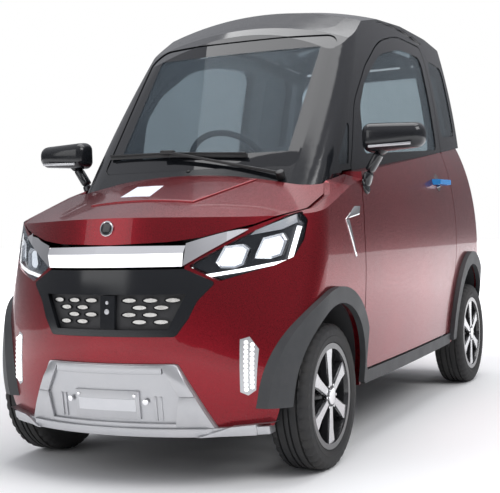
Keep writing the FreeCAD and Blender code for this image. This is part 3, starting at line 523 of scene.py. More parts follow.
def wrapOnto(o, form, plane="front", raised=0.0, deep=0.004):
    # laid on the car's form, raised off it, then thickened back into it
    out = sheetPlanes[plane][1]
    axis = {"front": "x", "top": "z", "left": "y"}[plane]
    applyModifier(o, "SHRINKWRAP", target=form, wrap_method="PROJECT", use_negative_direction=True,
                  use_positive_direction=False, **{"use_project_" + axis: True})
    patchMisses(o, form, out)
    openEdit(o)
    bpy.ops.transform.translate(value=out * raised)
    if deep:
        bpy.ops.mesh.extrude_region_move(TRANSFORM_OT_translate={"value": -out * deep})
    bpy.ops.mesh.select_all(action="SELECT")
    bpy.ops.mesh.normals_make_consistent(inside=False)
    closeEdit()
    return o


def panel(name, outline, form, far, plane="front", raised=0.002, deep=0.006, cellA=0.012, cellB=0.012):
    return wrapOnto(sheet(name, outline, far, plane, cellA, cellB), form, plane, raised, deep)


def stick(name, a, b, wide, thick, round=0.0):
    # a bar from a to b
    a, b = Vector(a), Vector(b)
    turn = (b - a).to_track_quat("X", "Z").to_euler()
    bpy.ops.mesh.primitive_cube_add(size=1.0, location=(a + b) / 2, rotation=turn, scale=((b - a).length, wide, thick))
    o = settle(bpy.context.active_object)
    o.name = name
    if round:
        soften(o, round, 2)
    return o


def chain(name, points, wide, thick, round=0.0):
    return joinAll(name, [stick(name, a, b, wide, thick, round) for a, b in zip(points, points[1:])])


def disc(name, centre, axis, radius, deep, sides=32, round=0.0):
    turn = Vector(axis).to_track_quat("Z", "Y").to_euler()
    bpy.ops.mesh.primitive_cylinder_add(vertices=sides, radius=radius, depth=deep, location=centre, rotation=turn)
    o = settle(bpy.context.active_object)
    o.name = name
    if round:
        soften(o, round, 2, 50)
    return o


def bothSides(name, left):
    # the left one and its mirrored copy, as one object
    return joinAll(name, [left, copyOf(left, name, mirror=True)])


def onForm(form, y, z, far=1.7):
    hit, place, normal, index = form.ray_cast(Vector((far, y, z)), Vector((-1, 0, 0)))
    return place, normal


noseForm = copyNodes("noseForm", ["front_bumper", "grille", "grille_bar", "skid_plate", "headlights", "bonnet",
                                  "front_fenders", "daytime_lights"])
frontFar = 1.6


def onNose(name, outline, raised, deep, **cells):
    return panel(name, outline, noseForm, frontFar, raised=raised, deep=deep, **cells)


# grille: an opening cut through the black panel, a mesh of lens-shaped cells behind it, a post in the middle

grilleSizes = {"top": (0.268, 0.624), "bottom": (0.212, 0.511), "deep": 0.020, "pitch": 0.073, "cell": (0.027, 0.0095),
               "rows": (0.604, 0.581, 0.558, 0.535), "rim": 0.003, "post": 0.027, "lap": 0.004,
               "backThick": 0.002, "postProud": -0.004, "postThick": 0.014,
               "postGap": 0.006, "holes": ((0.598, 0.006), (0.569, 0.009)), "cutX": 1.4, "cutDeep": 0.4}


def makeGrille(s):
    (wt, zt), (wb, zb) = s["top"], s["bottom"]
    lap, half, cutX = s["lap"], s["post"], s["cutX"]
    surround = copyNodes("grilleSurround", ["grille"])
    bpy.ops.mesh.primitive_cube_add(size=1.0, location=(cutX, 0, (zt + zb) / 2), scale=(s["cutDeep"], 2 * wt, zt - zb))
    cutter = settle(bpy.context.active_object)
    openEdit(cutter)
    pickVerts(cutter, lambda c: c.z < (zt + zb) / 2)
    bpy.ops.transform.resize(value=(1, wb / wt, 1), center_override=(cutX, 0, zb))
    closeEdit()
    applyModifier(surround, "BOOLEAN", operation="DIFFERENCE", solver="EXACT", object=cutter)
    remove(cutter)
    finishPiece(surround, "blackGloss", "car_body", 30)
    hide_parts("grille")
    back = onNose("grilleBack", [(-wt - lap, zt + lap), (wt + lap, zt + lap), (wb + lap, zb - lap),
                                 (-wb - lap, zb - lap)], -s["deep"], s["backThick"])
    finishPiece(back, "plastic", "car_body")
    cells = []
    for row, z in enumerate(s["rows"]):
        halfWide = wb + (wt - wb) * (z - zb) / (zt - zb) - s["cell"][0] - lap
        for i in range(-5, 6):
            y = (i + 0.5 * (row % 2)) * s["pitch"]
            if abs(y) > halfWide or abs(y) < half + s["cell"][0] - s["postGap"]:
                continue
            place, normal = onForm(noseForm, y, z)
            cells.append(makeCell(s, Vector((place.x - s["deep"] + lap, y, z)), normal))
    mesh = joinAll("grilleMesh", cells)
    finishPiece(mesh, None, "car_body", 30)
    post = onNose("grillePost", [(-half, zt - 0.003), (half, zt - 0.003), (half, zb), (-half, zb)], s["postProud"],
                  s["postThick"])
    dots = [disc("postHole", (onForm(noseForm, 0, z)[0].x - 0.003, 0, z), (1, 0, 0), r, 0.004, 24, 0.001)
            for z, r in s["holes"]]
    finishPiece(post, "blackGloss", "car_body")
    finishPiece(joinAll("postHoles", dots), "silver", "car_body")


def makeCell(s, place, normal):
    # one pointed cell: a dark ring round a hollow painted bright, as light seen through the mesh
    bpy.ops.mesh.primitive_cylinder_add(vertices=12, radius=1.0, depth=0.008, location=place,
                                        rotation=(0, math.pi / 2, math.atan2(normal.y, normal.x)),
                                        scale=(s["cell"][1], s["cell"][0], 1))
    o = settle(bpy.context.active_object)
    o.name = "meshCell"
    for f in ("blackGloss", "paintedLightGlimpse"):
        o.data.materials.append(mats[f])
    openEdit(o)
    pickFaces(o, lambda c, n: n.x > 0.5)
    bpy.ops.mesh.inset(thickness=s["rim"], depth=-0.005)
    # the inset hollow takes the pale painted light seen through the mesh
    bpy.context.object.active_material_index = 1
    bpy.ops.object.material_slot_assign()
    closeEdit()
    return o


# pale metal in the cell hollows, painted as bright ground seen through the grille; its brighter patches are painted
# light too
mats["paintedLightGlimpse"] = grained("meshPaintedLight", (0.42, 0.41, 0.39), (0.75, 0.74, 0.72), 60.0, 0.15, 0.35, 0.6, 1.0)
makeGrille(grilleSizes)
print("grille made")

# chrome bar: two faces that meet in a ridge, and an arm above each lamp

barSizes = {"ridge": 0.755, "proud": 0.010, "foot": 0.712, "half": 0.256, "end": (0.264, 0.784), "middle": 0.781,
            "thick": 0.012,
            "arm": [(0.258, 0.713), (0.425, 0.815), (0.437, 0.831), (0.352, 0.812), (0.265, 0.785)]}


def makeBar(s):
    half, ridge = s["half"], s["ridge"]
    body = sheet("barBody", [(-half, s["foot"]), (half, s["foot"]), s["end"], (0.0, s["middle"]),
                             (-s["end"][0], s["end"][1])], frontFar, cellB=1.0)
    openEdit(body)
    bpy.ops.mesh.bisect(plane_co=(frontFar, 0, ridge), plane_no=(0, 0, 1), threshold=merge)
    closeEdit()
    wrapOnto(body, noseForm, raised=0.0015, deep=0.0)
    openEdit(body)
    pickVerts(body, lambda c: abs(c.z - ridge) < 0.0015)
    bpy.ops.transform.translate(value=(s["proud"], 0, 0))
    bpy.ops.mesh.select_all(action="SELECT")
    bpy.ops.mesh.extrude_region_move(TRANSFORM_OT_translate={"value": (-s["thick"], 0, 0)})
    closeEdit()
    arm = onNose("barArm", s["arm"], 0.004, 0.009, cellB=1.0)
    bar = joinAll("chromeBar", [body, bothSides("barArm", arm)])
    finishPiece(bar, "chrome", "car_body", 20)
    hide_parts("grille_bar")


makeBar(barSizes)
print("chrome bar made")

# headlamps: clear lens over a dark bowl, with a white light line, two hexagon bezels and a silver wing

lampSizes = {
    "outline": [(0.270, 0.712), (0.437, 0.811), (0.555, 0.878), (0.575, 0.850), (0.571, 0.785), (0.551, 0.733),
                (0.505, 0.707), (0.361, 0.664)],
    "light": [[(0.278, 0.707), (0.313, 0.683), (0.313, 0.672), (0.271, 0.700)],
              [(0.313, 0.683), (0.420, 0.699), (0.420, 0.688), (0.313, 0.672)],
              [(0.420, 0.699), (0.535, 0.722), (0.535, 0.712), (0.420, 0.688)],
              [(0.535, 0.722), (0.552, 0.830), (0.562, 0.828), (0.545, 0.716)]],
    "bezels": [[(0.347, 0.722), (0.369, 0.772), (0.419, 0.777), (0.437, 0.760), (0.423, 0.710), (0.401, 0.700),
                (0.362, 0.702)],
               [(0.454, 0.744), (0.470, 0.795), (0.519, 0.809), (0.531, 0.785), (0.520, 0.736), (0.493, 0.727),
                (0.452, 0.730)]],
    "wing": [(0.437, 0.805), (0.451, 0.820), (0.548, 0.868), (0.553, 0.842), (0.515, 0.820)],
    "bowlDeep": 0.026, "bowlThick": 0.002, "lensDeep": 0.0012, "under": 0.006, "wingUnder": 0.004,
    "rims": ((0.007, -0.004), (0.004, -0.006))}


def makeHeadlamps(s):
    glass = bothSides("lampLenses", onNose("lampLens", s["outline"], 0.0, s["lensDeep"]))
    finishPiece(glass, "lens", "car_body", 40)
    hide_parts("headlights")
    bowl = onNose("lampBowl", s["outline"], -s["bowlDeep"], s["bowlThick"])
    finishPiece(bothSides("lampBowls", bowl), "lampDark", "car_body", 40)
    lights = [onNose("lightLine", q, -s["under"], 0.006) for q in s["light"]]
    finishPiece(bothSides("lightLines", joinAll("lightLine", lights)), "led", "car_body", 30)
    bezels = joinAll("lampBezel", [makeBezel(s, q) for q in s["bezels"]])
    finishPiece(bothSides("lampBezels", bezels), None, "car_body", 25)
    wing = onNose("lampWing", s["wing"], -s["wingUnder"], 0.012)
    finishPiece(bothSides("lampWings", wing), "silver", "car_body", 30)


def makeBezel(s, outline):
    # a chrome rim stepped back twice round a lit face
    o = onNose("lampBezel", outline, -s["under"], 0.016, cellA=0.03, cellB=0.03)
    for f in ("chrome", "lampGlow"):
        o.data.materials.append(mats[f])
    openEdit(o)
    pickFaces(o, lambda c, n: n.x > 0.25 and faceOut(noseForm, c, s["under"] + 0.004))
    for wide, step in s["rims"]:
        bpy.ops.mesh.inset(thickness=wide, depth=step)
    bpy.context.object.active_material_index = 1
    bpy.ops.object.material_slot_assign()
    closeEdit()
    return o


def faceOut(form, c, depth):
    # true for a face that lies within depth of the form, seen from the front
    place, normal = onForm(form, c.y, c.z)
    return place is not None and place.x - c.x < depth


mats["lampDark"] = polished("lampBowlBlack", (0.03, 0.032, 0.036), (0.3, 0.3, 0.32), 0.1, 0.12, 0.25, metallic=0.6)
mats["lampGlow"] = glowing("lampGlow", (0.92, 0.95, 1.0), 0.75)
makeHeadlamps(lampSizes)
print("headlamps made")

# daytime lights: a silver pod with two columns of beads

daySizes = {"columns": ((0.4405, 0.0), (0.4575, 0.5)), "low": 0.318, "high": 0.466, "count": 11, "bead": 0.0068,
            "proud": 0.002, "thick": 0.007,
            "housing": [(0.424, 0.476), (0.450, 0.484), (0.476, 0.444), (0.468, 0.314), (0.446, 0.298), (0.424, 0.310)]}


def makeDaytimeLights(s):
    pod = onNose("dayHousing", s["housing"], 0.001, 0.003)
    finishPiece(bothSides("dayHousings", pod), "silver", "car_body", 30)
    beads = []
    step = (s["high"] - s["low"]) / (s["count"] - 1)
    for y, lag in s["columns"]:
        for i in range(s["count"]):
            z = s["low"] + (i + lag) * step
            if z > s["high"]:
                continue
            place, normal = onForm(noseForm, y, z)
            o = disc("dayBead", place + normal * s["proud"], normal, s["bead"], s["thick"], 6)
            openEdit(o)
            pickFaces(o, lambda c, n: n.dot(normal) > 0.9)
            bpy.ops.mesh.inset(thickness=0.0025, depth=s["proud"])
            closeEdit()
            beads.append(o)
    finishPiece(bothSides("dayBeads", joinAll("dayBead", beads)), "led", "car_body", 15)


makeDaytimeLights(daySizes)
print("daytime lights made")

# silver skid plate: raised frame round a recessed panel, blank bracket with bolts, lip with winglets

skidSizes = {
    "wings": [[(0.196, 0.401), (0.242, 0.401), (0.299, 0.300), (0.250, 0.300)],
              [(0.250, 0.300), (0.299, 0.300), (0.351, 0.198), (0.232, 0.198)]],
    "band": [(-0.200, 0.372), (0.200, 0.372), (0.200, 0.401), (-0.200, 0.401)],
    "foot": [(-0.236, 0.198), (0.236, 0.198), (0.236, 0.214), (-0.236, 0.214)],
    "proud": 0.010, "bracket": [(-0.121, 0.226), (0.121, 0.226), (0.121, 0.318), (-0.121, 0.318)],
    "blank": [(-0.108, 0.252), (0.108, 0.252), (0.108, 0.290), (-0.108, 0.290)],
    "bolts": ((0.106, 0.303, 0.006), (0.143, 0.284, 0.010)), "ribs": (0.172, 0.190),
    "rib": (0.222, 0.300, 0.004),
    "lip": [(-0.500, 0.204), (0.500, 0.204), (0.500, 0.232), (-0.500, 0.232)],
    "winglet": [(0.300, 0.204), (0.534, 0.204), (0.534, 0.244), (0.400, 0.236)],
    "lipDrop": 0.034, "lipProud": 0.012, "wingletProud": 0.022, "lipDeep": 0.045, "frameDeep": 0.012}


def makeSkidPlate(s):
    wings = [onNose("plateWing", q, s["proud"], s["frameDeep"]) for q in s["wings"]]
    parts = [bothSides("plateWing", joinAll("plateWing", wings))]
    parts += [onNose("plateBand", s[key], s["proud"], s["frameDeep"]) for key in ("band", "foot")]
    frame = soften(joinAll("plateFrame", parts), 0.0025, 2, 60)
    finishPiece(frame, "silver", "car_body", 30)
    bracket = onNose("plateBracket", s["bracket"], 0.009, 0.010)
    blank = onNose("plateBlank", s["blank"], 0.0105, 0.003)
    low, high, half = s["rib"]
    ribs = [onNose("plateRib", [(y - half, low), (y + half, low), (y + half, high), (y - half, high)], 0.004, 0.005)
            for rib in s["ribs"] for y in (rib, -rib)]
    finishPiece(soften(joinAll("plateRibs", ribs), 0.0015), "silver", "car_body", 30)
    finishPiece(soften(bracket, 0.002), "silver", "car_body", 30)
    finishPiece(blank, "blankPlate", "car_body", 30)
    bolts = []
    for y, z, r in s["bolts"]:
        for side in (1, -1):
            place, normal = onForm(noseForm, side * y, z)
            bolts.append(disc("plateBolt", place + Vector((s["proud"], 0, 0)), normal, r, 0.006, 20, 0.001))
    finishPiece(joinAll("plateBolts", bolts), "chrome", "car_body", 30)
    middle = onNose("skidLip", s["lip"], s["lipProud"], s["lipDeep"])
    winglet = onNose("skidLip", s["winglet"], s["wingletProud"], s["lipDeep"])
    lip = joinAll("skidLip", [middle, bothSides("skidLip", winglet)])
    openEdit(lip)
    bpy.ops.transform.translate(value=(0, 0, -s["lipDrop"]))
    closeEdit()
    finishPiece(soften(lip, 0.003, 2, 50), "silver", "car_body", 30)


mats["blankPlate"] = grained("blankPlateWhite", (0.66, 0.67, 0.69), (0.72, 0.72, 0.74), 300.0, 0.35, 0.5, 0.05)
makeSkidPlate(skidSizes)
print("skid plate made")

# bonnet: a raised plateau, the ringed disc of the emblem and the blank sheet; all of them lift with it

bonnetForm, topFar = copyNodes("bonnetForm", ["bonnet"]), 1.4
bonnetSizes = {"plateau": [(1.180, -0.205), (1.180, 0.205), (0.815, 0.316), (0.815, -0.316)], "raised": 0.005,
               "sheet": [(1.120, -0.118), (0.985, -0.130), (0.998, -0.012), (1.135, 0.010)],
               "disc": (-0.012, 0.838), "ring": 0.026}


def makeBonnetTrim(s):
    plateau = panel("bonnetPlateau", s["plateau"], bonnetForm, topFar, "top", raised=s["raised"], deep=0.008)
    finishPiece(soften(plateau, 0.004, 3, 50), "paint", "bonnet_lid", 30)
    paper = panel("bonnetSheet", s["sheet"], bonnetForm, topFar, "top", raised=s["raised"] + 0.0008, deep=0.0006)
    finishPiece(paper, "paper", "bonnet_lid", 30)
    place, normal = onForm(noseForm, *s["disc"])
    ring = disc("emblemRing", place + normal * 0.002, normal, s["ring"], 0.006, 48, 0.0015)
    finishPiece(ring, "chrome", "bonnet_lid", 30)
    face = disc("emblemDisc", place + normal * 0.0035, normal, s["ring"] - 0.005, 0.005, 48, 0.001)
    finishPiece(face, "blackGloss", "bonnet_lid", 30)


mats["paper"] = grained("blankPaper", (0.72, 0.76, 0.86), (0.80, 0.83, 0.90), 200.0, 0.6, 0.8, 0.05)
makeBonnetTrim(bonnetSizes)
remove(bonnetForm)
print("bonnet trim made")

# wiper on the windscreen

screenForm = copyNodes("screenForm", ["windscreen"])
wiperSizes = {"pivot": (0.811, 0.370, 1.001), "blade": ((-0.405, 1.110), (-0.120, 1.104), (0.214, 1.086)),
              "armWide": 0.016, "armThick": 0.010, "bladeWide": 0.012, "bladeThick": 0.016, "off": 0.010,
              "root": (0.012, 0, 0.018), "spine": 0.006, "spineOff": (0.008, 0, 0.009), "armOff": (0.016, 0, 0.012),
              "nozzle": (0.805, -0.013, 1.040)}


def makeWiper(s):
    def onScreen(y, z, off):
        place, normal = onForm(screenForm, y, z)
        return place + normal * off

    ends = [onScreen(y, z, s["off"]) for y, z in s["blade"]]
    root = Vector(s["pivot"]) + Vector(s["root"])
    blade = chain("wiperBlade", ends, s["bladeWide"], s["bladeThick"], 0.003)
    spine = chain("wiperSpine", [p + Vector(s["spineOff"]) for p in ends], s["spine"], s["spine"], 0.0015)
    middle = ends[1] + Vector(s["armOff"])
    arm = stick("wiperArm", root, middle, s["armWide"], s["armThick"], 0.003)
    clip = stick("wiperClip", middle + Vector((0, 0.03, -0.002)), middle - Vector((0.004, 0.03, 0)), 0.02, 0.016, 0.004)
    boss = disc("wiperBoss", root - Vector((0, 0, 0.006)), (0.55, 0, 0.83), 0.016, 0.03, 28, 0.004)
    finishPiece(joinAll("wiper", [blade, spine, arm, clip, boss]), "wiperBlack", "car_body", 30)
    nozzle = disc("washerNozzle", s["nozzle"], (0.5, 0, 0.86), 0.009, 0.016, 20, 0.004)
    finishPiece(nozzle, "wiperBlack", "car_body", 30)


mats["wiperBlack"] = grained("wiperBlack", (0.010, 0.010, 0.011), (0.03, 0.03, 0.03), 500.0, 0.4, 0.55, 0.2)
makeWiper(wiperSizes)
remove(screenForm)
print("wiper made")

# mirrors: rounded head, silver signal strip, curved arm with a foot on the door

mirrorSizes = {"middle": (0.588, 0.722, 1.143), "size": (0.100, 0.240, 0.120), "round": 0.034,
               "outer": (0.82, 1, 0.78), "outerRise": 0.008, "face": (1, 0.93, 0.86),
               "armWide": 0.046, "armThick": 0.030,
               "arm": ((0.578, 0.606, 0.968), (0.578, 0.622, 1.020), (0.580, 0.664, 1.086), (0.584, 0.690, 1.110)),
               "strip": ((0.640, 0.640, 1.108), (0.640, 0.800, 1.112))}


def makeMirror(s):
    x, y, z = s["middle"]
    bpy.ops.mesh.primitive_cube_add(size=1.0, location=s["middle"], scale=s["size"])
    head = settle(bpy.context.active_object)
    openEdit(head)
    pickVerts(head, lambda c: c.y > y)
    bpy.ops.transform.resize(value=s["outer"], center_override=(x, y, z + s["outerRise"]))
    pickVerts(head, lambda c: c.x > x)
    bpy.ops.transform.resize(value=s["face"], center_override=(x, y, z))
    closeEdit()
    soften(head, s["round"], 6, 20)
    openEdit(head)
    pickFaces(head, lambda c, n: n.x < -0.98)
    bpy.ops.mesh.inset(thickness=0.006, depth=0.0)
    bpy.ops.mesh.inset(thickness=0.002, depth=-0.004)
    closeEdit()
    arm = chain("mirrorArm", s["arm"], s["armWide"], s["armThick"], 0.010)
    footX, footY, footZ = s["arm"][0]
    foot = disc("mirrorFoot", (footX, footY - 0.002, footZ), (0, 1, 0.15), 0.032, 0.020, 32, 0.006)
    return joinAll("mirrorHead", [head, arm, foot])


def makeMirrors(s):
    left = makeMirror(s)
    strip = stick("mirrorStrip", s["strip"][0], s["strip"][1], 0.006, 0.010, 0.002)
    for side, mirror in (("left", False), ("right", True)):
        o = copyOf(left, side + "Mirror", mirror=mirror)
        finishPiece(o, "blackGloss", side + "_door", 45)
        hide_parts("mirror_" + side)
        t = copyOf(strip, side + "MirrorStrip", mirror=mirror)
        finishPiece(t, "silver", side + "_door", 30)
    remove(left)
    remove(strip)


makeMirrors(mirrorSizes)
print("mirrors made")

# wheels: grooved tyres with sipes, machined spoke faces, lip ring, centre cap and lug nuts

wheelSizes = {
    "y": 0.5305, "z": 0.2475, "front": 0.955, "rear": -1.045, "steps": 120, "sipes": 3,
    "tyre": [(0.1683, 0.0555), (0.1803, 0.0595), (0.184, 0.068), (0.196, 0.0715), (0.204, 0.0725), (0.206, 0.0712),
             (0.226, 0.0708), (0.240, 0.064), (0.2462, 0.055), (0.2475, 0.044), (0.2475, 0.0415), (0.2405, 0.0405),
             (0.2405, 0.0350), (0.2475, 0.0340), (0.2475, 0.0130), (0.2405, 0.0120), (0.2405, 0.0065),
             (0.2475, 0.0055)],
    "sipeFrom": 0.238, "sipeSide": (0.042, 0.066), "sipeSink": 0.975, "count": 6, "turn": 30,
    "spoke": (0.034, 0.162), "spokeHalf": (0.012, 0.017, 0.027), "spokeMid": 0.112, "face": 0.5865, "thick": 0.004,
    "crown": 0.0012, "dish": 0.002, "dishTo": 0.06, "ring": (0.1700, 0.0035, 0.5935), "ringFlat": 0.5, "cap": 0.029,
    "lugRing": 0.041, "lug": 0.0055}


def makeTyre(s, x):
    half = s["tyre"]
    profile = half + [(r, -d) for r, d in reversed(half)]
    bpy.ops.mesh.primitive_circle_add(vertices=len(profile), radius=0.01, location=(x, s["y"], s["z"] + 0.2),
                                      rotation=(0, math.pi / 2, 0))
    o = settle(bpy.context.active_object)
    openEdit(o)
    places = [v.co.copy() for v in bmesh.from_edit_mesh(o.data).verts]
    for i, (r, d) in enumerate(profile):
        pickIndices(o, {i})
        bpy.ops.transform.translate(value=Vector((x, s["y"] + d, s["z"] + r)) - places[i])
    bpy.ops.mesh.select_all(action="SELECT")
    bpy.ops.mesh.spin(steps=s["steps"], angle=2 * math.pi, center=(x, s["y"], s["z"]), axis=(0, 1, 0))
    bpy.ops.mesh.select_all(action="SELECT")
    bpy.ops.mesh.remove_doubles(threshold=0.00002)

    def inSipe(c):
        turn = math.atan2(c.x - x, c.z - s["z"]) / (2 * math.pi) * s["steps"]
        away = math.hypot(c.x - x, c.z - s["z"])
        inner, outer = s["sipeSide"]
        return round(turn) % s["sipes"] == 0 and away > s["sipeFrom"] and inner < abs(c.y - s["y"]) < outer

    pickVerts(o, inSipe)
    bpy.ops.transform.resize(value=(s["sipeSink"], 1, s["sipeSink"]), center_override=(x, s["y"], s["z"]))
    closeEdit()
    return o


def makeSpokes(s, x):
    # one machined face, widened outward and dished, then turned round the wheel
    r0, r1 = s["spoke"]
    parts = []
    for i in range(s["count"]):
        bpy.ops.mesh.primitive_cube_add(size=1.0, location=(x + (r0 + r1) / 2, s["face"] + s["thick"] / 2, s["z"]),
                                        scale=(r1 - r0, s["thick"], 2 * s["spokeHalf"][0]))
        o = settle(bpy.context.active_object)
        openEdit(o)
        bpy.ops.mesh.bisect(plane_co=(x + s["spokeMid"], 0, 0), plane_no=(1, 0, 0))
        for place, wide in ((s["spokeMid"], s["spokeHalf"][1]), (r1, s["spokeHalf"][2])):
            pickVerts(o, lambda c: abs(c.x - x - place) < 0.001)
            bpy.ops.transform.resize(value=(1, 1, wide / s["spokeHalf"][0]), center_override=(x, 0, s["z"]))
        pickFaces(o, lambda c, n: n.y > 0.9)
        bpy.ops.mesh.inset(thickness=0.002, depth=0.0)
        bpy.ops.transform.translate(value=(0, s["crown"], 0))
        pickVerts(o, lambda c: c.x - x < s["dishTo"])
        bpy.ops.transform.translate(value=(0, s["dish"], 0))
        bpy.ops.mesh.select_all(action="SELECT")
        bpy.ops.transform.rotate(value=math.radians(s["turn"] + 360 / s["count"] * i), orient_axis="Y",
                                 center_override=(x, s["face"], s["z"]))
        closeEdit()
        parts.append(o)
    return joinAll("spokeFaces", parts)


def makeWheels(s):
    tyre = makeTyre(s, s["front"])
    spokes = makeSpokes(s, s["front"])
    major, minor, ringY = s["ring"]
    bpy.ops.mesh.primitive_torus_add(major_segments=72, minor_segments=8, major_radius=major, minor_radius=minor,
                                     location=(s["front"], ringY, s["z"]), rotation=(math.pi / 2, 0, 0))
    ring = settle(bpy.context.active_object)
    openEdit(ring)
    bpy.ops.transform.resize(value=(1, s["ringFlat"], 1), center_override=(s["front"], ringY, s["z"]))
    closeEdit()
    cap = disc("wheelCap", (s["front"], s["face"] + 0.0065, s["z"]), (0, 1, 0), s["cap"], 0.013, 40, 0.003)
    lugs = []
    for i in range(s["count"]):
        a = math.radians(360 / s["count"] * i)
        lugs.append(disc("lugNut", (s["front"] + s["lugRing"] * math.cos(a), s["face"] + 0.005,
                                    s["z"] + s["lugRing"] * math.sin(a)), (0, 1, 0), s["lug"], 0.009, 6, 0.001))
    bright = joinAll("wheelBright", [spokes, ring])
    small = joinAll("wheelCap", [cap] + lugs)
    for end in ("front", "rear"):
        for side in ("left", "right"):
            move = (s[end] - s["front"], 0, 0)
            body = "wheel_%s_%s" % (end, side)
            label = end + side.title()
            o = copyOf(tyre, label + "Tyre", move, side == "right")
            finishPiece(o, "rubber", body, 30)
            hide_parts("tyre_%s_%s" % (end, side))
            finishPiece(copyOf(bright, label + "RimFaces", move, side == "right"), "machined", body, 25)
            finishPiece(copyOf(small, label + "CapAndNuts", move, side == "right"), "chrome", body, 30)
    for o in (tyre, bright, small):
        remove(o)


makeWheels(wheelSizes)
print("wheels made")

# side trim: drip line above the door, the angled chrome trim on the fender, a flush dark disc painted as the shade of
# the recess behind the door handle

sideForm, sideFar = copyNodes("sideForm", ["front_fenders", "door_left", "door_right"]), 0.8
sideSizes = {"drip": [(0.306, 0.442, 1.541), (0.198, 0.447, 1.596), (0.050, 0.444, 1.655), (-0.096, 0.440, 1.696),
                      (-0.260, 0.442, 1.708), (-0.436, 0.443, 1.712), (-0.600, 0.443, 1.706), (-0.765, 0.441, 1.694)],
             "trim": [[(0.836, 0.847), (0.737, 0.893), (0.678, 0.893), (0.700, 0.862)],
                      [(0.834, 0.846), (0.803, 0.846), (0.752, 0.716), (0.764, 0.712)]],
             "cup": [(-0.520, 1.003), (-0.500, 0.972), (-0.470, 0.960), (-0.440, 0.972), (-0.420, 1.003),
                     (-0.440, 1.034), (-0.470, 1.046), (-0.500, 1.034)]}


def makeSideTrim(s):
    drip = chain("dripLine", s["drip"], 0.010, 0.008, 0.002)
    finishPiece(bothSides("dripLines", drip), "blackGloss", "car_body", 40)
    trims = joinAll("fenderTrim", [panel("fenderTrim", q, sideForm, sideFar, "left", raised=0.003, deep=0.005)
                                   for q in s["trim"]])
    finishPiece(soften(bothSides("fenderTrims", trims), 0.001), "chrome", "car_body", 30)
    # a flat disc on the door, painted dark red as the shade of the handle's recess
    cup = panel("handleCupShade", s["cup"], sideForm, sideFar, "left", raised=0.0015, deep=0.003)
    for side in ("left", "right"):
        o = copyOf(cup, side + "HandleCupShade", mirror=side == "right")
        finishPiece(o, "paintedCupShade", side + "_door", 40)
    remove(cup)


# dark red painted shade for the handle recess
mats["paintedCupShade"] = polished("cupShade", (0.055, 0.0015, 0.006), (0.2, 0.02, 0.03), 0.06, 0.08, 0.16, 0.5, 1.0)
makeSideTrim(sideSizes)
remove(sideForm)
remove(noseForm)
print("side trim made")

# seats: CAD cushions inflated as cloth, then channels pressed in

seatSizes = {
    "voxel": 0.008, "frames": 20, "pressure": 4.0, "start": 0.975, "cap": 0.024, "groove": 0.007,
    "halfGroove": 0.0045, "fill": 0.6,
    "seats": {"driver_cushion": ("driverCushion", (-0.13, 0.13)), "driver_backrest": ("driverBackrest", (-0.12, 0.12)),
              "bench_cushion": ("benchCushion", (-0.2, 0.0, 0.2)),
              "bench_backrest": ("benchBackrest", (-0.2, 0.0, 0.2))}}


def makeSeat(s, node, name, lines):
    o = copyNodes(name, [node])
    applyModifier(o, "REMESH", mode="VOXEL", voxel_size=s["voxel"])
    middle = sum((Vector(c) for c in o.bound_box), Vector()) / 8
    openEdit(o)
    bpy.ops.transform.resize(value=(s["start"],) * 3, center_override=middle)
    closeEdit()
    before = [v.co.copy() for v in o.data.vertices]
    cloth = o.modifiers.new("Cloth", "CLOTH")
    cloth.settings.quality = 3
    cloth.settings.use_pressure = True
    cloth.settings.uniform_pressure_force = s["pressure"]
    cloth.settings.effector_weights.gravity = 0.0
    scene = bpy.context.scene
    for f in range(1, s["frames"] + 1):
        scene.frame_set(f)
    activate(o)
    bpy.ops.object.modifier_apply(modifier=cloth.name)
    scene.frame_set(1)
    for v, old in zip(o.data.vertices, before):
        move = v.co - old
        if move.length > s["cap"]:
            v.co = old + move * (s["cap"] / move.length)
    applyModifier(o, "SUBSURF", levels=1, render_levels=1)
    openEdit(o)
    pickVerts(o, lambda c: any(abs(c.y - y) < s["halfGroove"] for y in lines))
    bpy.ops.transform.shrink_fatten(value=-s["groove"])
    closeEdit()
    finishPiece(o, "cloth", "car_body", 60)
    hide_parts(node)


for node, (name, lines) in seatSizes["seats"].items():
    makeSeat(seatSizes, node, name, lines)
print("seats made")

# floor, backdrop and light

studio = {"floor": 0.93, "key": (2.2, 5.0, 5.2), "keyPower": 190.0, "fill": (6.0, -3.5, 3.0), "fillPower": 55.0,
          "top": (-0.5, 0.0, 5.5), "topPower": 170.0, "world": 0.5, "floorSide": 60.0,
          "whiteFrom": (2.0, 6.0), "keySize": (4.0, 3.0), "fillSize": (3.5, 3.0), "topSize": (5.0, 4.0)}


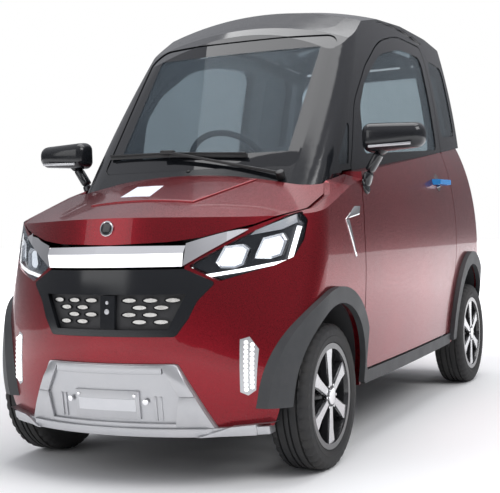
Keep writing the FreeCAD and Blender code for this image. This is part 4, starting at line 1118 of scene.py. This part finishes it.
def areaLight(name, place, aim, size, power):
    data = bpy.data.lights.new(name, "AREA")
    data.shape = "RECTANGLE"
    data.size, data.size_y = size
    data.energy = power
    o = bpy.data.objects.new(name, data)
    o.location = place
    o.rotation_euler = (Vector(aim) - Vector(place)).to_track_quat("-Z", "Y").to_euler()
    bpy.context.scene.collection.objects.link(o)


def makeStage(s):
    bpy.ops.mesh.primitive_plane_add(size=s["floorSide"], location=(0, 0, 0))
    floor = bpy.context.active_object
    floor.name = "studioFloor"
    m, t, b = newMaterial("paleFloor")
    level = s["floor"]
    b.inputs["Base Color"].default_value = (level, level, level, 1)
    b.inputs["Roughness"].default_value = 0.9
    # bright white far from the car, where it meets the backdrop
    where = addNode(t, "ShaderNodeTexCoord")
    away = addNode(t, "ShaderNodeVectorMath", {0: where.outputs["Object"]}, operation="LENGTH")
    t.links.new(ramp(t, away.outputs["Value"], *s["whiteFrom"]), b.inputs["Emission Strength"])
    b.inputs["Emission Color"].default_value = (1, 1, 1, 1)
    floor.data.materials.append(m)
    areaLight("keyLight", s["key"], (0, 0, 0.8), s["keySize"], s["keyPower"])
    areaLight("fillLight", s["fill"], (0, 0, 0.8), s["fillSize"], s["fillPower"])
    areaLight("topLight", s["top"], (0, 0, 0.5), s["topSize"], s["topPower"])
    world = bpy.data.worlds.new("studioWorld")
    world.use_nodes = True
    bpy.context.scene.world = world
    t = world.node_tree
    t.nodes.clear()
    path = addNode(t, "ShaderNodeLightPath")
    # dim at the horizon and lilac white overhead, as an open sky is
    where = addNode(t, "ShaderNodeTexCoord")
    axes = addNode(t, "ShaderNodeSeparateXYZ", {0: where.outputs["Generated"]})
    sky = ramp(t, axes.outputs["Z"], 0.1, 0.7, s["world"] * 0.45, s["world"] * 1.5)
    soft = addNode(t, "ShaderNodeBackground", {"Color": (0.93, 0.94, 1.0, 1), "Strength": sky})
    white = addNode(t, "ShaderNodeBackground", {"Color": (1, 1, 1, 1), "Strength": 1.0})
    seen = maths(t, "MAXIMUM", path.outputs["Is Camera Ray"], path.outputs["Is Transmission Ray"])
    mix = addNode(t, "ShaderNodeMixShader", {0: seen.outputs[0], 1: soft.outputs[0], 2: white.outputs[0]})
    out = addNode(t, "ShaderNodeOutputWorld")
    t.links.new(mix.outputs[0], out.inputs["Surface"])


makeStage(studio)
print("studio made")
